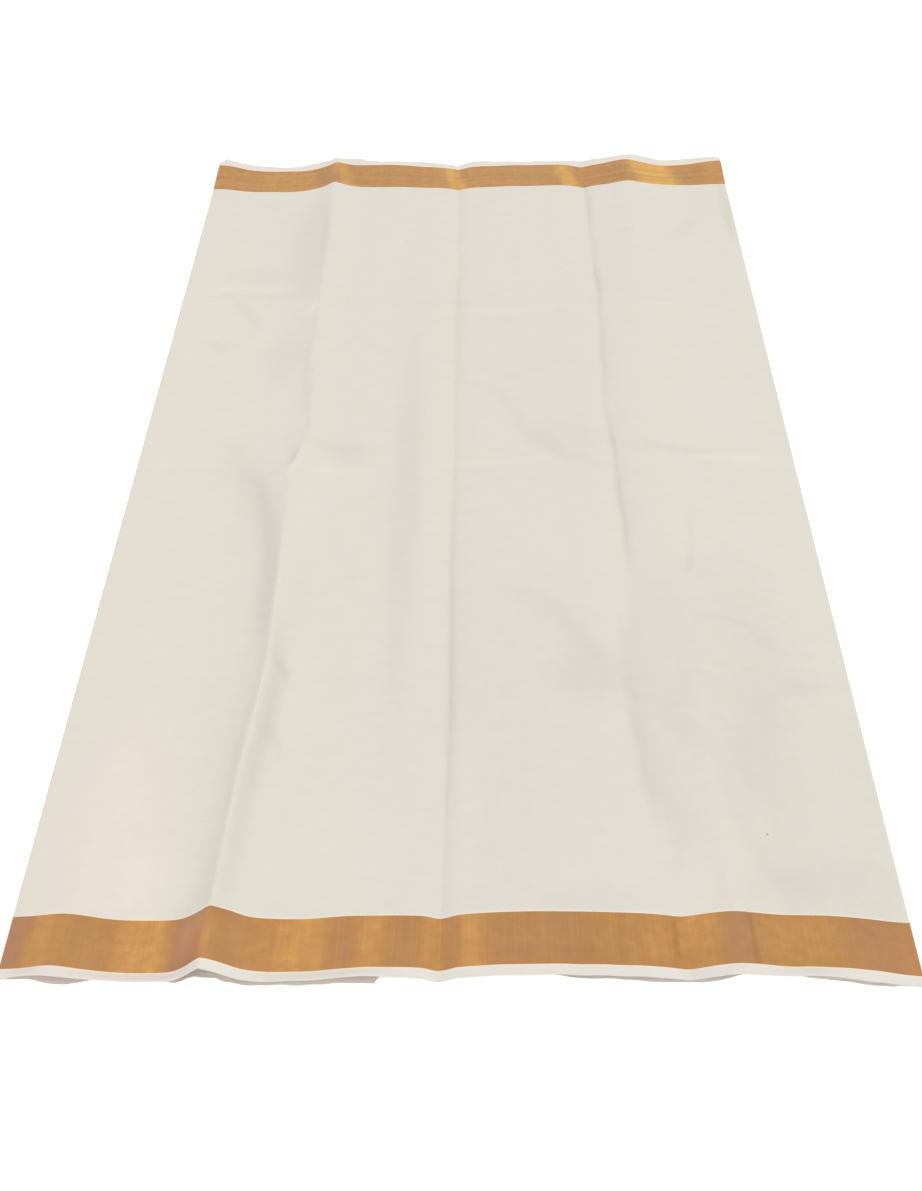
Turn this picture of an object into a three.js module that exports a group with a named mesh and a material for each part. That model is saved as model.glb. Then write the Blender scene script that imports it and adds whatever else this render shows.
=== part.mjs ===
// A plain cream cotton saree with a woven gold border along each long edge, folded flat.
//
// Millimetres, +Z up. X runs along the cloth's length, from the left fold to the right one.
// Y runs across its width, from the near selvage at -Y to the far selvage at +Y. The origin
// is on the resting surface, under the middle of the pack.
//
// Three stretches of the one long cloth show: the top one, the inner end, which lies under
// everything and comes out of the left fold, and the second stretch, which comes out of the
// lower right fold. Each is woven as five strips: selvage, gold border, field, gold border,
// selvage. The layers between them are one solid, layered along its near and far edges.

import * as THREE from "three";
import { mergeVertices } from "three/addons/utils/BufferGeometryUtils.js";

// ---- Driving sizes -------------------------------------------------------------------

const STRETCH = 697; // from the left fold to the right one, at the near edge
const TAPER = 3.4; // how much less it is at the far edge
const CLOTH_WIDTH = 1170; // from selvage to selvage
const SELVAGE = 8.4; // plain cream edge outside each border
const NEAR_BORDER = 42.2; // gold border along the near edge
const FAR_BORDER = 53; // the far one is a little wider
const WALL = 1; // the cloth's wall
const SEAM = 0.3; // clearance between neighbouring pieces
const PACK = 5.4; // thickness of the folded pack at its pressed side folds
const LOFT = 2.2; // how much more it fluffs up between them
const END_REACH = 286.5; // how far the inner end lies in from the left fold
const CURL = 3; // how far the top stretch's far selvage curls up
const TUCK = 14; // cloth that runs back inside each fold on the right
const FOLD_SET_BACK = 2.5; // how far the lower right fold lies inside the upper one
const ARC_STEPS = 3; // facets in a quarter of a fold

const LEFT = -STRETCH / 2;
const RIGHT = STRETCH / 2;
const NEAR = -CLOTH_WIDTH / 2;
const FAR = CLOTH_WIDTH / 2;

const COTTON = { color: "#e1ddd2", roughness: 0.9, metalness: 0 };
const GOLD = { color: "#c08d58", roughness: 0.45, metalness: 0.4 };
const EDGE_CREAM = { color: "#e6e1d8", roughness: 0.9, metalness: 0 };

// The five strips of the weave, measured from the near selvage.
const STRIPS = [
  { name: "near_selvage", width: SELVAGE, finish: EDGE_CREAM },
  { name: "near_border", width: NEAR_BORDER, finish: GOLD },
  { name: "field", width: CLOTH_WIDTH - 2 * SELVAGE - NEAR_BORDER - FAR_BORDER, finish: COTTON },
  { name: "far_border", width: FAR_BORDER, finish: GOLD },
  { name: "far_selvage", width: SELVAGE, finish: EDGE_CREAM },
];

// ---- How the pack lies ---------------------------------------------------------------

// The swells, ridges and pressed creases that run across the pack, from left to right.
// x: where each one lies at the near edge, the middle and the far edge.
// lift: its height at the near edge, just inside it, at the middle, just inside the far
// edge and at the far edge. reach: how far its left and right flanks spread. power: how
// rounded its crown is. carried: the share of the lift that the layers below follow.
// sway: where its line strays from its path, and how far.
const FOLDS = [
  {
    name: "near left lift",
    x: [-308, -302, -300],
    lift: [9.2, 6, 0, 0, 0],
    reach: [22, 26],
    power: 2,
    carried: 0.7,
  },
  {
    name: "left ridge",
    x: [-194, -179, -182],
    lift: [19, 14, 5, 10, 7.5],
    reach: [14, 21],
    power: 1.5,
    carried: 0.5,
    sway: { y: -290, reach: 110, shift: 8 },
  },
  {
    name: "left swell",
    x: [-58, -90, -112],
    lift: [5, 0.5, 2, 1.8, 4.2],
    reach: [52, 44],
    power: 2.2,
    carried: 1,
  },
  {
    name: "middle valley",
    x: [-14, -11, -15],
    lift: [-5.5, -4.5, -3.6, -4, -4.2],
    reach: [13, 11],
    power: 1.3,
    carried: 1,
  },
  {
    name: "right swell",
    x: [75, 85, 90],
    lift: [5, 7, 3, 2.3, 2.4],
    reach: [72, 78],
    power: 2.6,
    carried: 1,
  },
  {
    name: "right valley",
    x: [175, 159, 153],
    lift: [-6, -5, -4, -3.5, -4],
    reach: [14, 12],
    power: 1.4,
    carried: 1,
    sway: { y: -300, reach: 120, shift: -14 },
  },
  {
    name: "right ridge",
    x: [213, 205, 214],
    lift: [9, 7, 3, 8, 9],
    reach: [26, 30],
    power: 1.8,
    carried: 0.8,
  },
  {
    name: "right slope",
    x: [285, 275, 270],
    lift: [9, 2, 1, 0, -2],
    reach: [44, 40],
    power: 2,
    carried: 1,
  },
  {
    name: "far left lift",
    x: [LEFT, LEFT, LEFT],
    lift: [0, 0, 0, 0, 6],
    reach: [40, 40],
    power: 2,
    carried: 1,
  },
  {
    name: "far right lift",
    x: [RIGHT, RIGHT, RIGHT],
    lift: [0, 0, 0, 3, 8],
    reach: [40, 40],
    power: 2,
    carried: 1,
  },
];
const LIFT_STATIONS = [0, 0.11, 0.5, 0.94, 1]; // shares of the width where the lifts are given

// The pressed creases that run along the cloth's length, from one side fold to the other.
const CROSS_CREASES = [
  { y: [-305, -291], lift: -0.5, reach: 10 },
  { y: [-22, -24], lift: -0.8, reach: 12 },
  { y: [272, 256], lift: 0.8, reach: 12 },
];

// Where an edge bows in (+) or out (-) along the width, at the near edge and the far edge.
const NEAR_BOWS = [
  { x: 120, reach: 150, shift: 4 },
  { x: -245, reach: 60, shift: -3.5 },
  { x: -140, reach: 45, shift: -2 },
];
const FAR_BOWS = [
  { x: -60, reach: 230, shift: -4 },
  { x: -268, reach: 55, shift: -10 },
];
const BOW_FADE = 300; // an edge's bows die out this far into the cloth

// How far the inner end and the second stretch lie in from the top stretch's near edge, or
// past it.
const END_SLIPS = [
  { x: -335, reach: 22, shift: 5 },
  { x: -300, reach: 12, shift: -4 },
  { x: -248, reach: 52, shift: 7.5 },
  { x: -190, reach: 20, shift: 4.5 },
  { x: -110, reach: 80, shift: 1.8 },
];
const SECOND_SLIPS = [
  { x: 0, reach: 75, shift: 9 },
  { x: 95, reach: 45, shift: 3 },
  { x: 235, reach: 34, shift: 7.8 },
  { x: 288, reach: 34, shift: 7.5 },
];

// The hidden layers, from the bottom up: how far each edge lies in from the top stretch's
// edge, and how much and how often it wanders along the pack.
const HIDDEN_LAYERS = [
  { inset: 9, wander: 1.5, turns: 3, phase: 0.4 },
  { inset: 12, wander: 2, turns: 5, phase: 2.1 },
  { inset: 8, wander: 1.6, turns: 4, phase: 3.9 },
  { inset: 10, wander: 2, turns: 6, phase: 5.2 },
];
const GROOVE = 5; // depth of the gap between two layers' edges
const EDGE_DROP = 0.4; // how much lower the topmost hidden layer lies at its free edges

const smooth = (t) => THREE.MathUtils.smoothstep(t, 0, 1);

// A path's place at y, on the parabola through its near, middle and far places.
function pathAt([near, middle, far], y) {
  const t = y / FAR;
  return middle + ((far - near) / 2) * t + ((far + near) / 2 - middle) * t * t;
}

// A fold's lift at y, eased from one station to the next.
function liftAt(lifts, y) {
  const share = THREE.MathUtils.clamp(y / CLOTH_WIDTH + 0.5, 0, 1);
  const above = LIFT_STATIONS.findIndex((station) => station >= share);
  const i = Math.max(above, 1);
  const from = LIFT_STATIONS[i - 1];
  const t = smooth((share - from) / (LIFT_STATIONS[i] - from));
  return THREE.MathUtils.lerp(lifts[i - 1], lifts[i], t);
}

// X of the right fold at y.
const rightSide = (y) => RIGHT - (TAPER * (y - NEAR)) / CLOTH_WIDTH;

// X of a fold's crest or valley at y.
function foldLine(fold, y) {
  const { y: at, reach, shift } = fold.sway ?? { y: 0, reach: 1, shift: 0 };
  return pathAt(fold.x, y) + shift * Math.exp(-(((y - at) / reach) ** 2));
}

function foldLift(fold, x, y) {
  const across = x - foldLine(fold, y);
  const reach = across < 0 ? fold.reach[0] : fold.reach[1];
  return liftAt(fold.lift, y) * Math.exp(-((Math.abs(across) / reach) ** fold.power));
}

function creaseLift(crease, x, y) {
  const line = THREE.MathUtils.mapLinear(x, LEFT, RIGHT, crease.y[0], crease.y[1]);
  return crease.lift * Math.exp(-(((y - line) / crease.reach) ** 2));
}

// Height of the top stretch's upper face.
function topHeight(x, y) {
  let z = PACK + LOFT * (1 - (x / RIGHT) ** 8);
  for (const fold of FOLDS) {
    z += foldLift(fold, x, y);
  }
  for (const crease of CROSS_CREASES) {
    z += creaseLift(crease, x, y);
  }
  return z;
}

// The same with its far selvage curled up.
function curledHeight(x, y) {
  const inFromFolds = smooth((x - LEFT - 4) / 12) * smooth((rightSide(y) - 4 - x) / 12);
  return topHeight(x, y) + CURL * inFromFolds * smooth((y - FAR + SELVAGE + 2) / (SELVAGE + 2));
}

// Height of a point of the cloth straight below the upper face, `depth` in from it.
function under(x, y, depth, height = topHeight) {
  const h = 1;
  const slopeX = (height(x + h, y) - height(x - h, y)) / (2 * h);
  const slopeY = (height(x, y + h) - height(x, y - h)) / (2 * h);
  return height(x, y) - depth * Math.hypot(1, slopeX, slopeY);
}

// How much of the lift the layers below leave open under the top stretch.
function hollow(x, y) {
  let open = 0;
  for (const fold of FOLDS) {
    open += (1 - fold.carried) * Math.max(0, foldLift(fold, x, y));
  }
  return open;
}

const bump = (rows, x) =>
  rows.reduce((sum, row) => sum + row.shift * Math.exp(-(((x - row.x) / row.reach) ** 4)), 0);

// Shift in y of every layer, from the bows of the near and far edges.
function bow(x, y) {
  const near = bump(NEAR_BOWS, x) * (1 - smooth(THREE.MathUtils.clamp((y - NEAR) / BOW_FADE, 0, 1)));
  const far = bump(FAR_BOWS, x) * (1 - smooth(THREE.MathUtils.clamp((FAR - y) / BOW_FADE, 0, 1)));
  return near + far;
}

// ---- Rows and columns ----------------------------------------------------------------

// Rows of the weave in y: each strip's two edges, and rows between them, some of which
// follow the cross creases.
const EXTRA_ROWS = [-556, -460, -380, -298, -205, -110, -23, 75, 170, 264, 350, 440, 551];

function rowsOf(strip) {
  let from = NEAR;
  for (const before of STRIPS.slice(0, STRIPS.indexOf(strip))) {
    from += before.width;
  }
  const to = from + strip.width;
  const low = strip === STRIPS[0] ? from : from + SEAM / 2;
  const high = strip === STRIPS[STRIPS.length - 1] ? to : to - SEAM / 2;
  return [low, ...EXTRA_ROWS.filter((y) => y > low && y < high), high];
}

// Columns between two places, closer together towards both of them.
function columnsBetween(from, to, count) {
  const places = [];
  for (let i = 0; i < count; i++) {
    places.push(THREE.MathUtils.lerp(from, to, (1 - Math.cos((Math.PI * i) / count)) / 2));
  }
  return places;
}

const foldNamed = (name) => FOLDS.find((fold) => fold.name === name);
const CREST_LINES = ["left ridge", "middle valley", "right valley", "right ridge"].map(foldNamed);
const SPAN_COLUMNS = [8, 8, 7, 4, 6]; // columns from the left fold to the first crest line, and on

// The flat columns of the top stretch at y, between the rounds of its two side folds.
function flatColumns(y, from, to) {
  const lines = [from, ...CREST_LINES.map((fold) => foldLine(fold, y)), to];
  const places = SPAN_COLUMNS.flatMap((count, i) => columnsBetween(lines[i], lines[i + 1], count));
  return [...places, to];
}

// ---- Sections ------------------------------------------------------------------------
// A section is a list of points { x, outer, inner } at one y: the wall's outer and inner
// face, each a Vector2 of x and z.

function arc(centreX, centreZ, radius, fromDegrees, toDegrees) {
  const steps = Math.round((Math.abs(toDegrees - fromDegrees) / 90) * ARC_STEPS);
  const points = [];
  for (let i = 0; i <= steps; i++) {
    const angle = THREE.MathUtils.degToRad(THREE.MathUtils.lerp(fromDegrees, toDegrees, i / steps));
    const direction = new THREE.Vector2(Math.cos(angle), Math.sin(angle));
    const centre = new THREE.Vector2(centreX, centreZ);
    points.push({
      outer: centre.clone().addScaledVector(direction, radius),
      inner: centre.clone().addScaledVector(direction, radius - WALL),
    });
  }
  return points;
}

// Radius of the left fold, which wraps the whole pack, at y.
function leftRadius(y) {
  let radius = PACK / 2;
  for (let i = 0; i < 4; i++) {
    radius = topHeight(LEFT + radius, y) / 2;
  }
  return radius;
}

// The two folds stacked at the right, at y: radius, centre height and outermost x of each.
function rightFolds(y) {
  let upper = PACK / 4;
  let height = PACK;
  for (let i = 0; i < 4; i++) {
    height = topHeight(rightSide(y) - upper, y);
    upper = (height / 2 - SEAM / 2) / 2;
  }
  return {
    upper: { radius: upper, z: height - upper, x: rightSide(y) },
    lower: { radius: upper, z: upper, x: rightSide(y) - FOLD_SET_BACK },
  };
}

function topSection(y) {
  const left = leftRadius(y);
  const right = rightFolds(y).upper;
  const points = arc(LEFT + left, left, left, 180, 90);
  // The left round stops short of the end stretch's round, which meets it half-way down.
  points[0].outer.y += SEAM / 2;
  points[0].inner.y += SEAM / 2;
  const from = LEFT + left;
  const to = right.x - right.radius;
  for (const x of flatColumns(y, from, to).slice(1, -1)) {
    points.push({
      outer: new THREE.Vector2(x, curledHeight(x, y)),
      inner: new THREE.Vector2(x, under(x, y, WALL, curledHeight)),
    });
  }
  points.push(...arc(to, right.z, right.radius, 90, -90));
  points.push({
    outer: new THREE.Vector2(to - TUCK, right.z - right.radius),
    inner: new THREE.Vector2(to - TUCK, right.z - right.radius + WALL),
  });
  return points;
}

// A run of cloth that lies on the surface, between two places.
function runOnSurface(from, to, count) {
  return Array.from({ length: count + 1 }, (_, i) => {
    const x = THREE.MathUtils.lerp(from, to, i / count);
    return { outer: new THREE.Vector2(x, 0), inner: new THREE.Vector2(x, WALL) };
  });
}

// Where the inner end's cut edge lies: it runs a little askew.
const endEdge = (y) => LEFT + END_REACH + (12 * (y - NEAR)) / CLOTH_WIDTH;

function endSection(y) {
  const left = leftRadius(y);
  const points = arc(LEFT + left, left, left, 180, 270);
  points[0].outer.y -= SEAM / 2;
  points[0].inner.y -= SEAM / 2;
  const run = runOnSurface(LEFT + left, endEdge(y), 14).slice(1);
  return [...points, ...run].reverse();
}

function secondSection(y) {
  const { radius, z, x } = rightFolds(y).lower;
  const inside = x - radius;
  const tuck = {
    outer: new THREE.Vector2(inside - TUCK, z + radius),
    inner: new THREE.Vector2(inside - TUCK, z + radius - WALL),
  };
  const run = runOnSurface(inside, endEdge(y) + 4 * SEAM, 14).slice(1);
  return [tuck, ...arc(inside, z, radius, 90, -90), ...run];
}

// ---- Closed meshes -------------------------------------------------------------------

// Builds one closed mesh from quads of points, dropping the faces that have no area.
class Skin {
  constructor() {
    this.positions = [];
  }

  quad(a, b, c, d) {
    this.triangle(a, b, c);
    this.triangle(a, c, d);
  }

  triangle(a, b, c) {
    this.positions.push(a.x, a.y, a.z, b.x, b.y, b.z, c.x, c.y, c.z);
  }

  geometry() {
    const loose = new THREE.BufferGeometry();
    loose.setAttribute("position", new THREE.Float32BufferAttribute(this.positions, 3));
    const merged = mergeVertices(loose, 1e-3);
    const index = Array.from(merged.index.array);
    const kept = [];
    for (let i = 0; i < index.length; i += 3) {
      const [a, b, c] = index.slice(i, i + 3);
      if (a !== b && b !== c && c !== a) {
        kept.push(a, b, c);
      }
    }
    merged.setIndex(kept);
    merged.computeVertexNormals();
    return merged;
  }
}

// A closed body between two grids of points with the same rows and columns. The upper
// grid faces +Z where rows run to +Y and columns to +X. rim(row, column) gives the points
// between the grids at an edge, from the upper one down.
function bodyBetween(upper, lower, rim = () => []) {
  const skin = new Skin();
  const rows = upper.length;
  const columns = upper[0].length;
  for (let r = 0; r + 1 < rows; r++) {
    for (let c = 0; c + 1 < columns; c++) {
      skin.quad(upper[r][c], upper[r][c + 1], upper[r + 1][c + 1], upper[r + 1][c]);
      skin.quad(lower[r][c], lower[r + 1][c], lower[r + 1][c + 1], lower[r][c + 1]);
    }
  }
  const down = (r, c) => [upper[r][c], ...rim(r, c), lower[r][c]];
  const side = (one, other) => {
    for (let k = 0; k + 1 < one.length; k++) {
      skin.quad(one[k], one[k + 1], other[k + 1], other[k]);
    }
  };
  for (let c = 0; c + 1 < columns; c++) {
    side(down(0, c), down(0, c + 1));
    side(down(rows - 1, c + 1), down(rows - 1, c));
  }
  for (let r = 0; r + 1 < rows; r++) {
    side(down(r + 1, 0), down(r, 0));
    side(down(r, columns - 1), down(r + 1, columns - 1));
  }
  return skin.geometry();
}

// One strip of a stretch: its section at each row, with the shift in y that the layer has.
function stripGeometry(section, strip, slip) {
  const rows = rowsOf(strip);
  const grid = (face) =>
    rows.map((y) =>
      section(y).map((point) => {
        const { x, y: z } = point[face];
        return new THREE.Vector3(x, y + bow(x, y) + slip(x, y), z);
      }),
    );
  return bodyBetween(grid("outer"), grid("inner"));
}

// ---- The hidden layers ---------------------------------------------------------------

// How far in from the top stretch's edge a hidden layer's edge lies at x.
function layerInset(layer, x) {
  const turn = (2 * Math.PI * layer.turns * (x - LEFT)) / STRETCH;
  return layer.inset + layer.wander * Math.sin(turn + layer.phase);
}

// The hidden layers' upper and lower faces at one row: they fill what the top stretch, the
// left fold and the runs on the surface leave, and stop short of the tucks on the right.
// The insets move the two faces' points in along y at the near and far rows.
function hiddenSection(rowY, upperInset, lowerInset, drop) {
  const clear = WALL + SEAM;
  const left = leftRadius(rowY);
  const right = rightFolds(rowY).upper.radius;
  const end = rightSide(rowY) - 2 * right - TUCK - FOLD_SET_BACK;
  const columns = flatColumns(rowY, LEFT + left, rightSide(rowY) - right);
  const upper = [];
  const lower = [];
  const round = arc(LEFT + left, left, left - SEAM, 180, 90).slice(0, -1);
  for (const { inner } of round) {
    const y = rowY + upperInset(inner.x);
    upper.push(new THREE.Vector3(inner.x, y, inner.y));
    lower.push(new THREE.Vector3(inner.x, y, 2 * left - inner.y));
  }
  const topAt = (x) => {
    const y = rowY + upperInset(x);
    return new THREE.Vector3(x, y, under(x, y, clear) - hollow(x, y) - drop);
  };
  const inside = columns.filter((x) => x < end);
  for (const x of inside) {
    upper.push(topAt(x));
    lower.push(new THREE.Vector3(x, rowY + lowerInset(x), clear));
  }
  // The last point lies on the facet that the top stretch has there.
  const [before, after] = [inside[inside.length - 1], columns[inside.length]];
  upper.push(topAt(before).lerp(topAt(after), (end - before) / (after - before)));
  lower.push(new THREE.Vector3(end, rowY + lowerInset(end), clear));
  const bowed = (point) => point.setY(point.y + bow(point.x, point.y));
  return { upper: upper.map(bowed), lower: lower.map(bowed) };
}

function hiddenGeometry() {
  const top = HIDDEN_LAYERS.length - 1;
  const deepest = Math.max(...HIDDEN_LAYERS.map((layer) => layer.inset + layer.wander)) + GROOVE;
  const woven = STRIPS.flatMap((strip) => rowsOf(strip));
  const inner = woven.filter((y, i) => y > NEAR + deepest && y < FAR - deepest && y - woven[i - 1] > 1);
  const inset = (layer, direction) => (x) => direction * layerInset(HIDDEN_LAYERS[layer], x);
  const none = () => 0;
  const sections = [
    hiddenSection(NEAR, inset(top, 1), inset(0, 1), EDGE_DROP),
    ...inner.map((y) => hiddenSection(y, none, none, 0)),
    hiddenSection(FAR, inset(top, -1), inset(0, -1), EDGE_DROP),
  ];
  const upper = sections.map((section) => section.upper);
  const lower = sections.map((section) => section.lower);
  // Between the two faces each layer's edge stands out, and a groove parts it from the next.
  const steps = 2 * top;
  const rim = (r, c) => {
    const direction = r === 0 ? 1 : r === sections.length - 1 ? -1 : 0;
    const levels = [];
    for (let step = 1; step < steps; step++) {
      const point = new THREE.Vector3().lerpVectors(upper[r][c], lower[r][c], step / steps);
      if (c > 0 && direction !== 0) {
        const layer = HIDDEN_LAYERS[top - Math.floor(step / 2)];
        const depth = layerInset(layer, point.x) + (step % 2 === 1 ? GROOVE : 0);
        point.y = direction * (depth - CLOTH_WIDTH / 2) + bow(point.x, direction * NEAR);
      }
      levels.push(point);
    }
    return levels;
  };
  return bodyBetween(upper, lower, rim);
}

// ---- The saree -----------------------------------------------------------------------

const saree = new THREE.Group();

function add(name, geometry, finish) {
  const mesh = new THREE.Mesh(geometry, new THREE.MeshStandardMaterial(finish));
  mesh.name = name;
  saree.add(mesh);
}

const edgeShare = (y) => smooth(THREE.MathUtils.clamp(1 - (y - NEAR) / BOW_FADE, 0, 1));
const STRETCHES = [
  { name: "top", section: topSection, slip: () => 0 },
  { name: "end", section: endSection, slip: (x, y) => bump(END_SLIPS, x) * edgeShare(y) },
  { name: "second", section: secondSection, slip: (x, y) => bump(SECOND_SLIPS, x) * edgeShare(y) },
];

for (const stretch of STRETCHES) {
  for (const strip of STRIPS) {
    const geometry = stripGeometry(stretch.section, strip, stretch.slip);
    add(stretch.name + "_" + strip.name, geometry, strip.finish);
  }
}
add("hidden_folds", hiddenGeometry(), COTTON);

export default saree;
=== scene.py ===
# A plain cream cotton saree with a woven gold border along each long edge, folded flat.
#
# Metres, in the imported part's own frame. X runs along the cloth's length, from the left fold to
# the right ones, Y across its width, from the near selvages to the far ones, and Z up from the
# surface that the pack rests on.
#
# The pack is one long cloth. Its layers are numbered from the top down: 0 is the top stretch,
# 1 to 6 lie inside, 7 is the second stretch and 8 the inner end. The cloth runs from the inner
# end up round the left fold to 0, down the upper right fold to 3, left to 4, down the lower
# right fold to 7, over the inner end to 1, and then by 2 and 5 to its other end in 6.

from collections import namedtuple

import bpy
import numpy as np
from mathutils import Matrix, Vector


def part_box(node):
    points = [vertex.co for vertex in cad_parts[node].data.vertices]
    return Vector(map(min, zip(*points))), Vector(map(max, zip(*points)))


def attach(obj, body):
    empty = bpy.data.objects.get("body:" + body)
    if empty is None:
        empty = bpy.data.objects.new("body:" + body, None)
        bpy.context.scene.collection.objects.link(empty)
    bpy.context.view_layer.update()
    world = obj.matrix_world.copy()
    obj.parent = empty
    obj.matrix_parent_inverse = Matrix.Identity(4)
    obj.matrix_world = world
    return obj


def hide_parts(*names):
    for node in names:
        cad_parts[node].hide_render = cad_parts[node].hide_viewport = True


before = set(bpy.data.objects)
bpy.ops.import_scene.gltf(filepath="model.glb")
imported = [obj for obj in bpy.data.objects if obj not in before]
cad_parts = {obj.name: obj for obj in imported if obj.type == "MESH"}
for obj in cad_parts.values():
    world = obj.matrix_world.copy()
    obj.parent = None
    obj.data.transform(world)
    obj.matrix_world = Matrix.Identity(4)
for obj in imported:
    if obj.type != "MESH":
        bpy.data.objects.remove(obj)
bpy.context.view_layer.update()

# ---- Driving sizes -----------------------------------------------------------------------

low_corner, high_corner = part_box("top_field")
LEFT, RIGHT = low_corner.x, high_corner.x
STRETCH = RIGHT - LEFT
CLOTH_WIDTH = 1.170
NEAR, FAR = -CLOTH_WIDTH / 2, CLOTH_WIDTH / 2
SELVAGE = 0.0084
NEAR_BORDER = 0.0422
FAR_BORDER = 0.053
CLOTH = 0.0005  # thickness of the shown cloth
INSIDE_CLOTH = 0.00025  # the same pressed thin inside the pack
PACK = 0.0054  # the pack's thickness at its pressed side folds
LOFT = 0.0022  # how much more it fluffs up between them
TAPER = 0.0034  # how much shorter the stretch is at the far edge than at the near one
END_REACH = 0.2925  # how far the inner end lies in from the left fold
END_SKEW = 0.012  # how much further in at the far edge than at the near one
TUCK = 0.014  # cloth of the shown stretches that runs back inside the right folds
FOLD_SET_BACK = 0.0025  # how far the lower right fold lies inside the upper one
CURL = 0.0030  # how far the top stretch's far selvage curls up
SLACK = 0.0014  # how far the inside layers lie below the top stretch

SIDE_ROUND = 0.004  # how wide each side fold's round is, which has no creases
SIDE_EASE = 0.012  # how far in from there the creases reach their full height
UNEVENNESS = 0.00030  # how far the top stretch strays up and down between its creases
CURL_ROOT = 0.002  # how far inside the far selvage its curl begins
PRESSED_THROUGH = 0.007  # creases that spread wider than this press the inside layers too
END_CORNER = 0.006  # how far the inner end's near corner is cut back
END_CORNER_REACH = 0.010  # over how much of its width
END_STEP = 0.006  # over how much length the next layer comes down off the inner end
END_CLEARANCE = 1.2  # how high it lies on the inner end, in thicknesses of cloth
END_GAP = 0.0052  # between the inner end and the second stretch
RIPPLE = 0.00035  # how unevenly the layers' near and far edges run
RIPPLE_REACH = 0.020  # how far in from those edges that fades out
LEAST_INSET = 0.0008  # how far in an inside layer's near edge lies at the least
INSIDE_TURN = 0.001  # how much further in than the left fold's round the inside layers turn
INSIDE_SHORT = 0.020  # how far short of there the innermost run ends

# Layers by number. The upper right fold joins TOP and UPPER_BACK, the lower one LOWER_OUT and
# SECOND, so the layers up to UPPER_BACK lie in the upper fold.
TOP, UPPER_BACK, LOWER_OUT, SECOND, INNER_END = 0, 3, 4, 7, 8

# The five strips of the weave, from the near selvage to the far one.
Strip = namedtuple("Strip", "name low high finish spacing")
FIELD_LOW = NEAR + SELVAGE + NEAR_BORDER
FIELD_HIGH = FAR - SELVAGE - FAR_BORDER
STRIPS = [
    Strip("near_selvage", NEAR, NEAR + SELVAGE, "selvage", 0.0012),
    Strip("near_border", NEAR + SELVAGE, FIELD_LOW, "gold_border", 0.0028),
    Strip("field", FIELD_LOW, FIELD_HIGH, "cotton", 0.0062),
    Strip("far_border", FIELD_HIGH, FAR - SELVAGE, "gold_border", 0.0032),
    Strip("far_selvage", FAR - SELVAGE, FAR, "selvage", 0.0012),
]

# ---- How the pack lies -------------------------------------------------------------------

# The swells, ridges and pressed creases across the pack. They follow the solids' own, with small
# changes to three: the near left lift, the left ridge and the right valley. x: place at the near
# edge, the middle and the far edge. lift: height at each lift station. reach: spread of the left
# and right flanks. power: how rounded. carried: share of the lift that the next layer follows.
Fold = namedtuple("Fold", "name x lift reach power carried")
FOLDS = [
    Fold("near left lift", (-0.300, -0.302, -0.300), (0.0092, 0.006, 0, 0, 0), (0.024, 0.028), 2, 0.7),
    Fold("left ridge", (-0.1905, -0.179, -0.182), (0.021, 0.014, 0.005, 0.010, 0.0075),
         (0.014, 0.021), 1.5, 0.5),
    Fold("left swell", (-0.058, -0.090, -0.112), (0.005, 0.0005, 0.002, 0.0018, 0.0042),
         (0.052, 0.044), 2.2, 1),
    Fold("middle valley", (-0.014, -0.011, -0.015), (-0.0055, -0.0045, -0.0036, -0.004, -0.0042),
         (0.013, 0.011), 1.3, 1),
    Fold("right swell", (0.075, 0.085, 0.090), (0.005, 0.007, 0.003, 0.0023, 0.0024),
         (0.072, 0.078), 2.6, 1),
    Fold("right valley", (0.175, 0.159, 0.153), (-0.006, -0.005, -0.004, -0.0035, -0.004),
         (0.014, 0.013), 1.7, 1),
    Fold("right ridge", (0.213, 0.205, 0.214), (0.009, 0.007, 0.003, 0.008, 0.009),
         (0.026, 0.030), 1.8, 0.8),
    Fold("right slope", (0.285, 0.275, 0.270), (0.009, 0.002, 0.001, 0, -0.002), (0.044, 0.040), 2, 1),
    Fold("far left lift", (LEFT, LEFT, LEFT), (0, 0, 0, 0, 0.006), (0.040, 0.040), 2, 1),
    Fold("far right lift", (RIGHT, RIGHT, RIGHT), (0, 0, 0, 0.003, 0.008), (0.040, 0.040), 2, 1),
]
LIFT_STATIONS = np.array((0, 0.11, 0.5, 0.94, 1))  # shares of the width
# Where a fold's line sways out of its path: y, reach, and the shift in X.
Sway = namedtuple("Sway", "y reach shift")
SWAYS = {
    "left ridge": [Sway(-0.290, 0.110, 0.008), Sway(-0.030, 0.030, -0.006), Sway(0.030, 0.055, 0.010)],
    "right valley": [Sway(-0.300, 0.120, -0.014)],
}
CREST_NAMES = ("left ridge", "middle valley", "right valley", "right ridge")
CREST_LINES = [fold for fold in FOLDS if fold.name in CREST_NAMES]

# The pressed creases along the cloth: y at the left and right folds, lift and reach.
CrossCrease = namedtuple("CrossCrease", "left right lift reach")
CROSS_CREASES = [
    CrossCrease(-0.305, -0.291, -0.0005, 0.010),
    CrossCrease(-0.022, -0.024, -0.0008, 0.012),
    CrossCrease(0.272, 0.256, 0.0008, 0.012),
]

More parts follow.
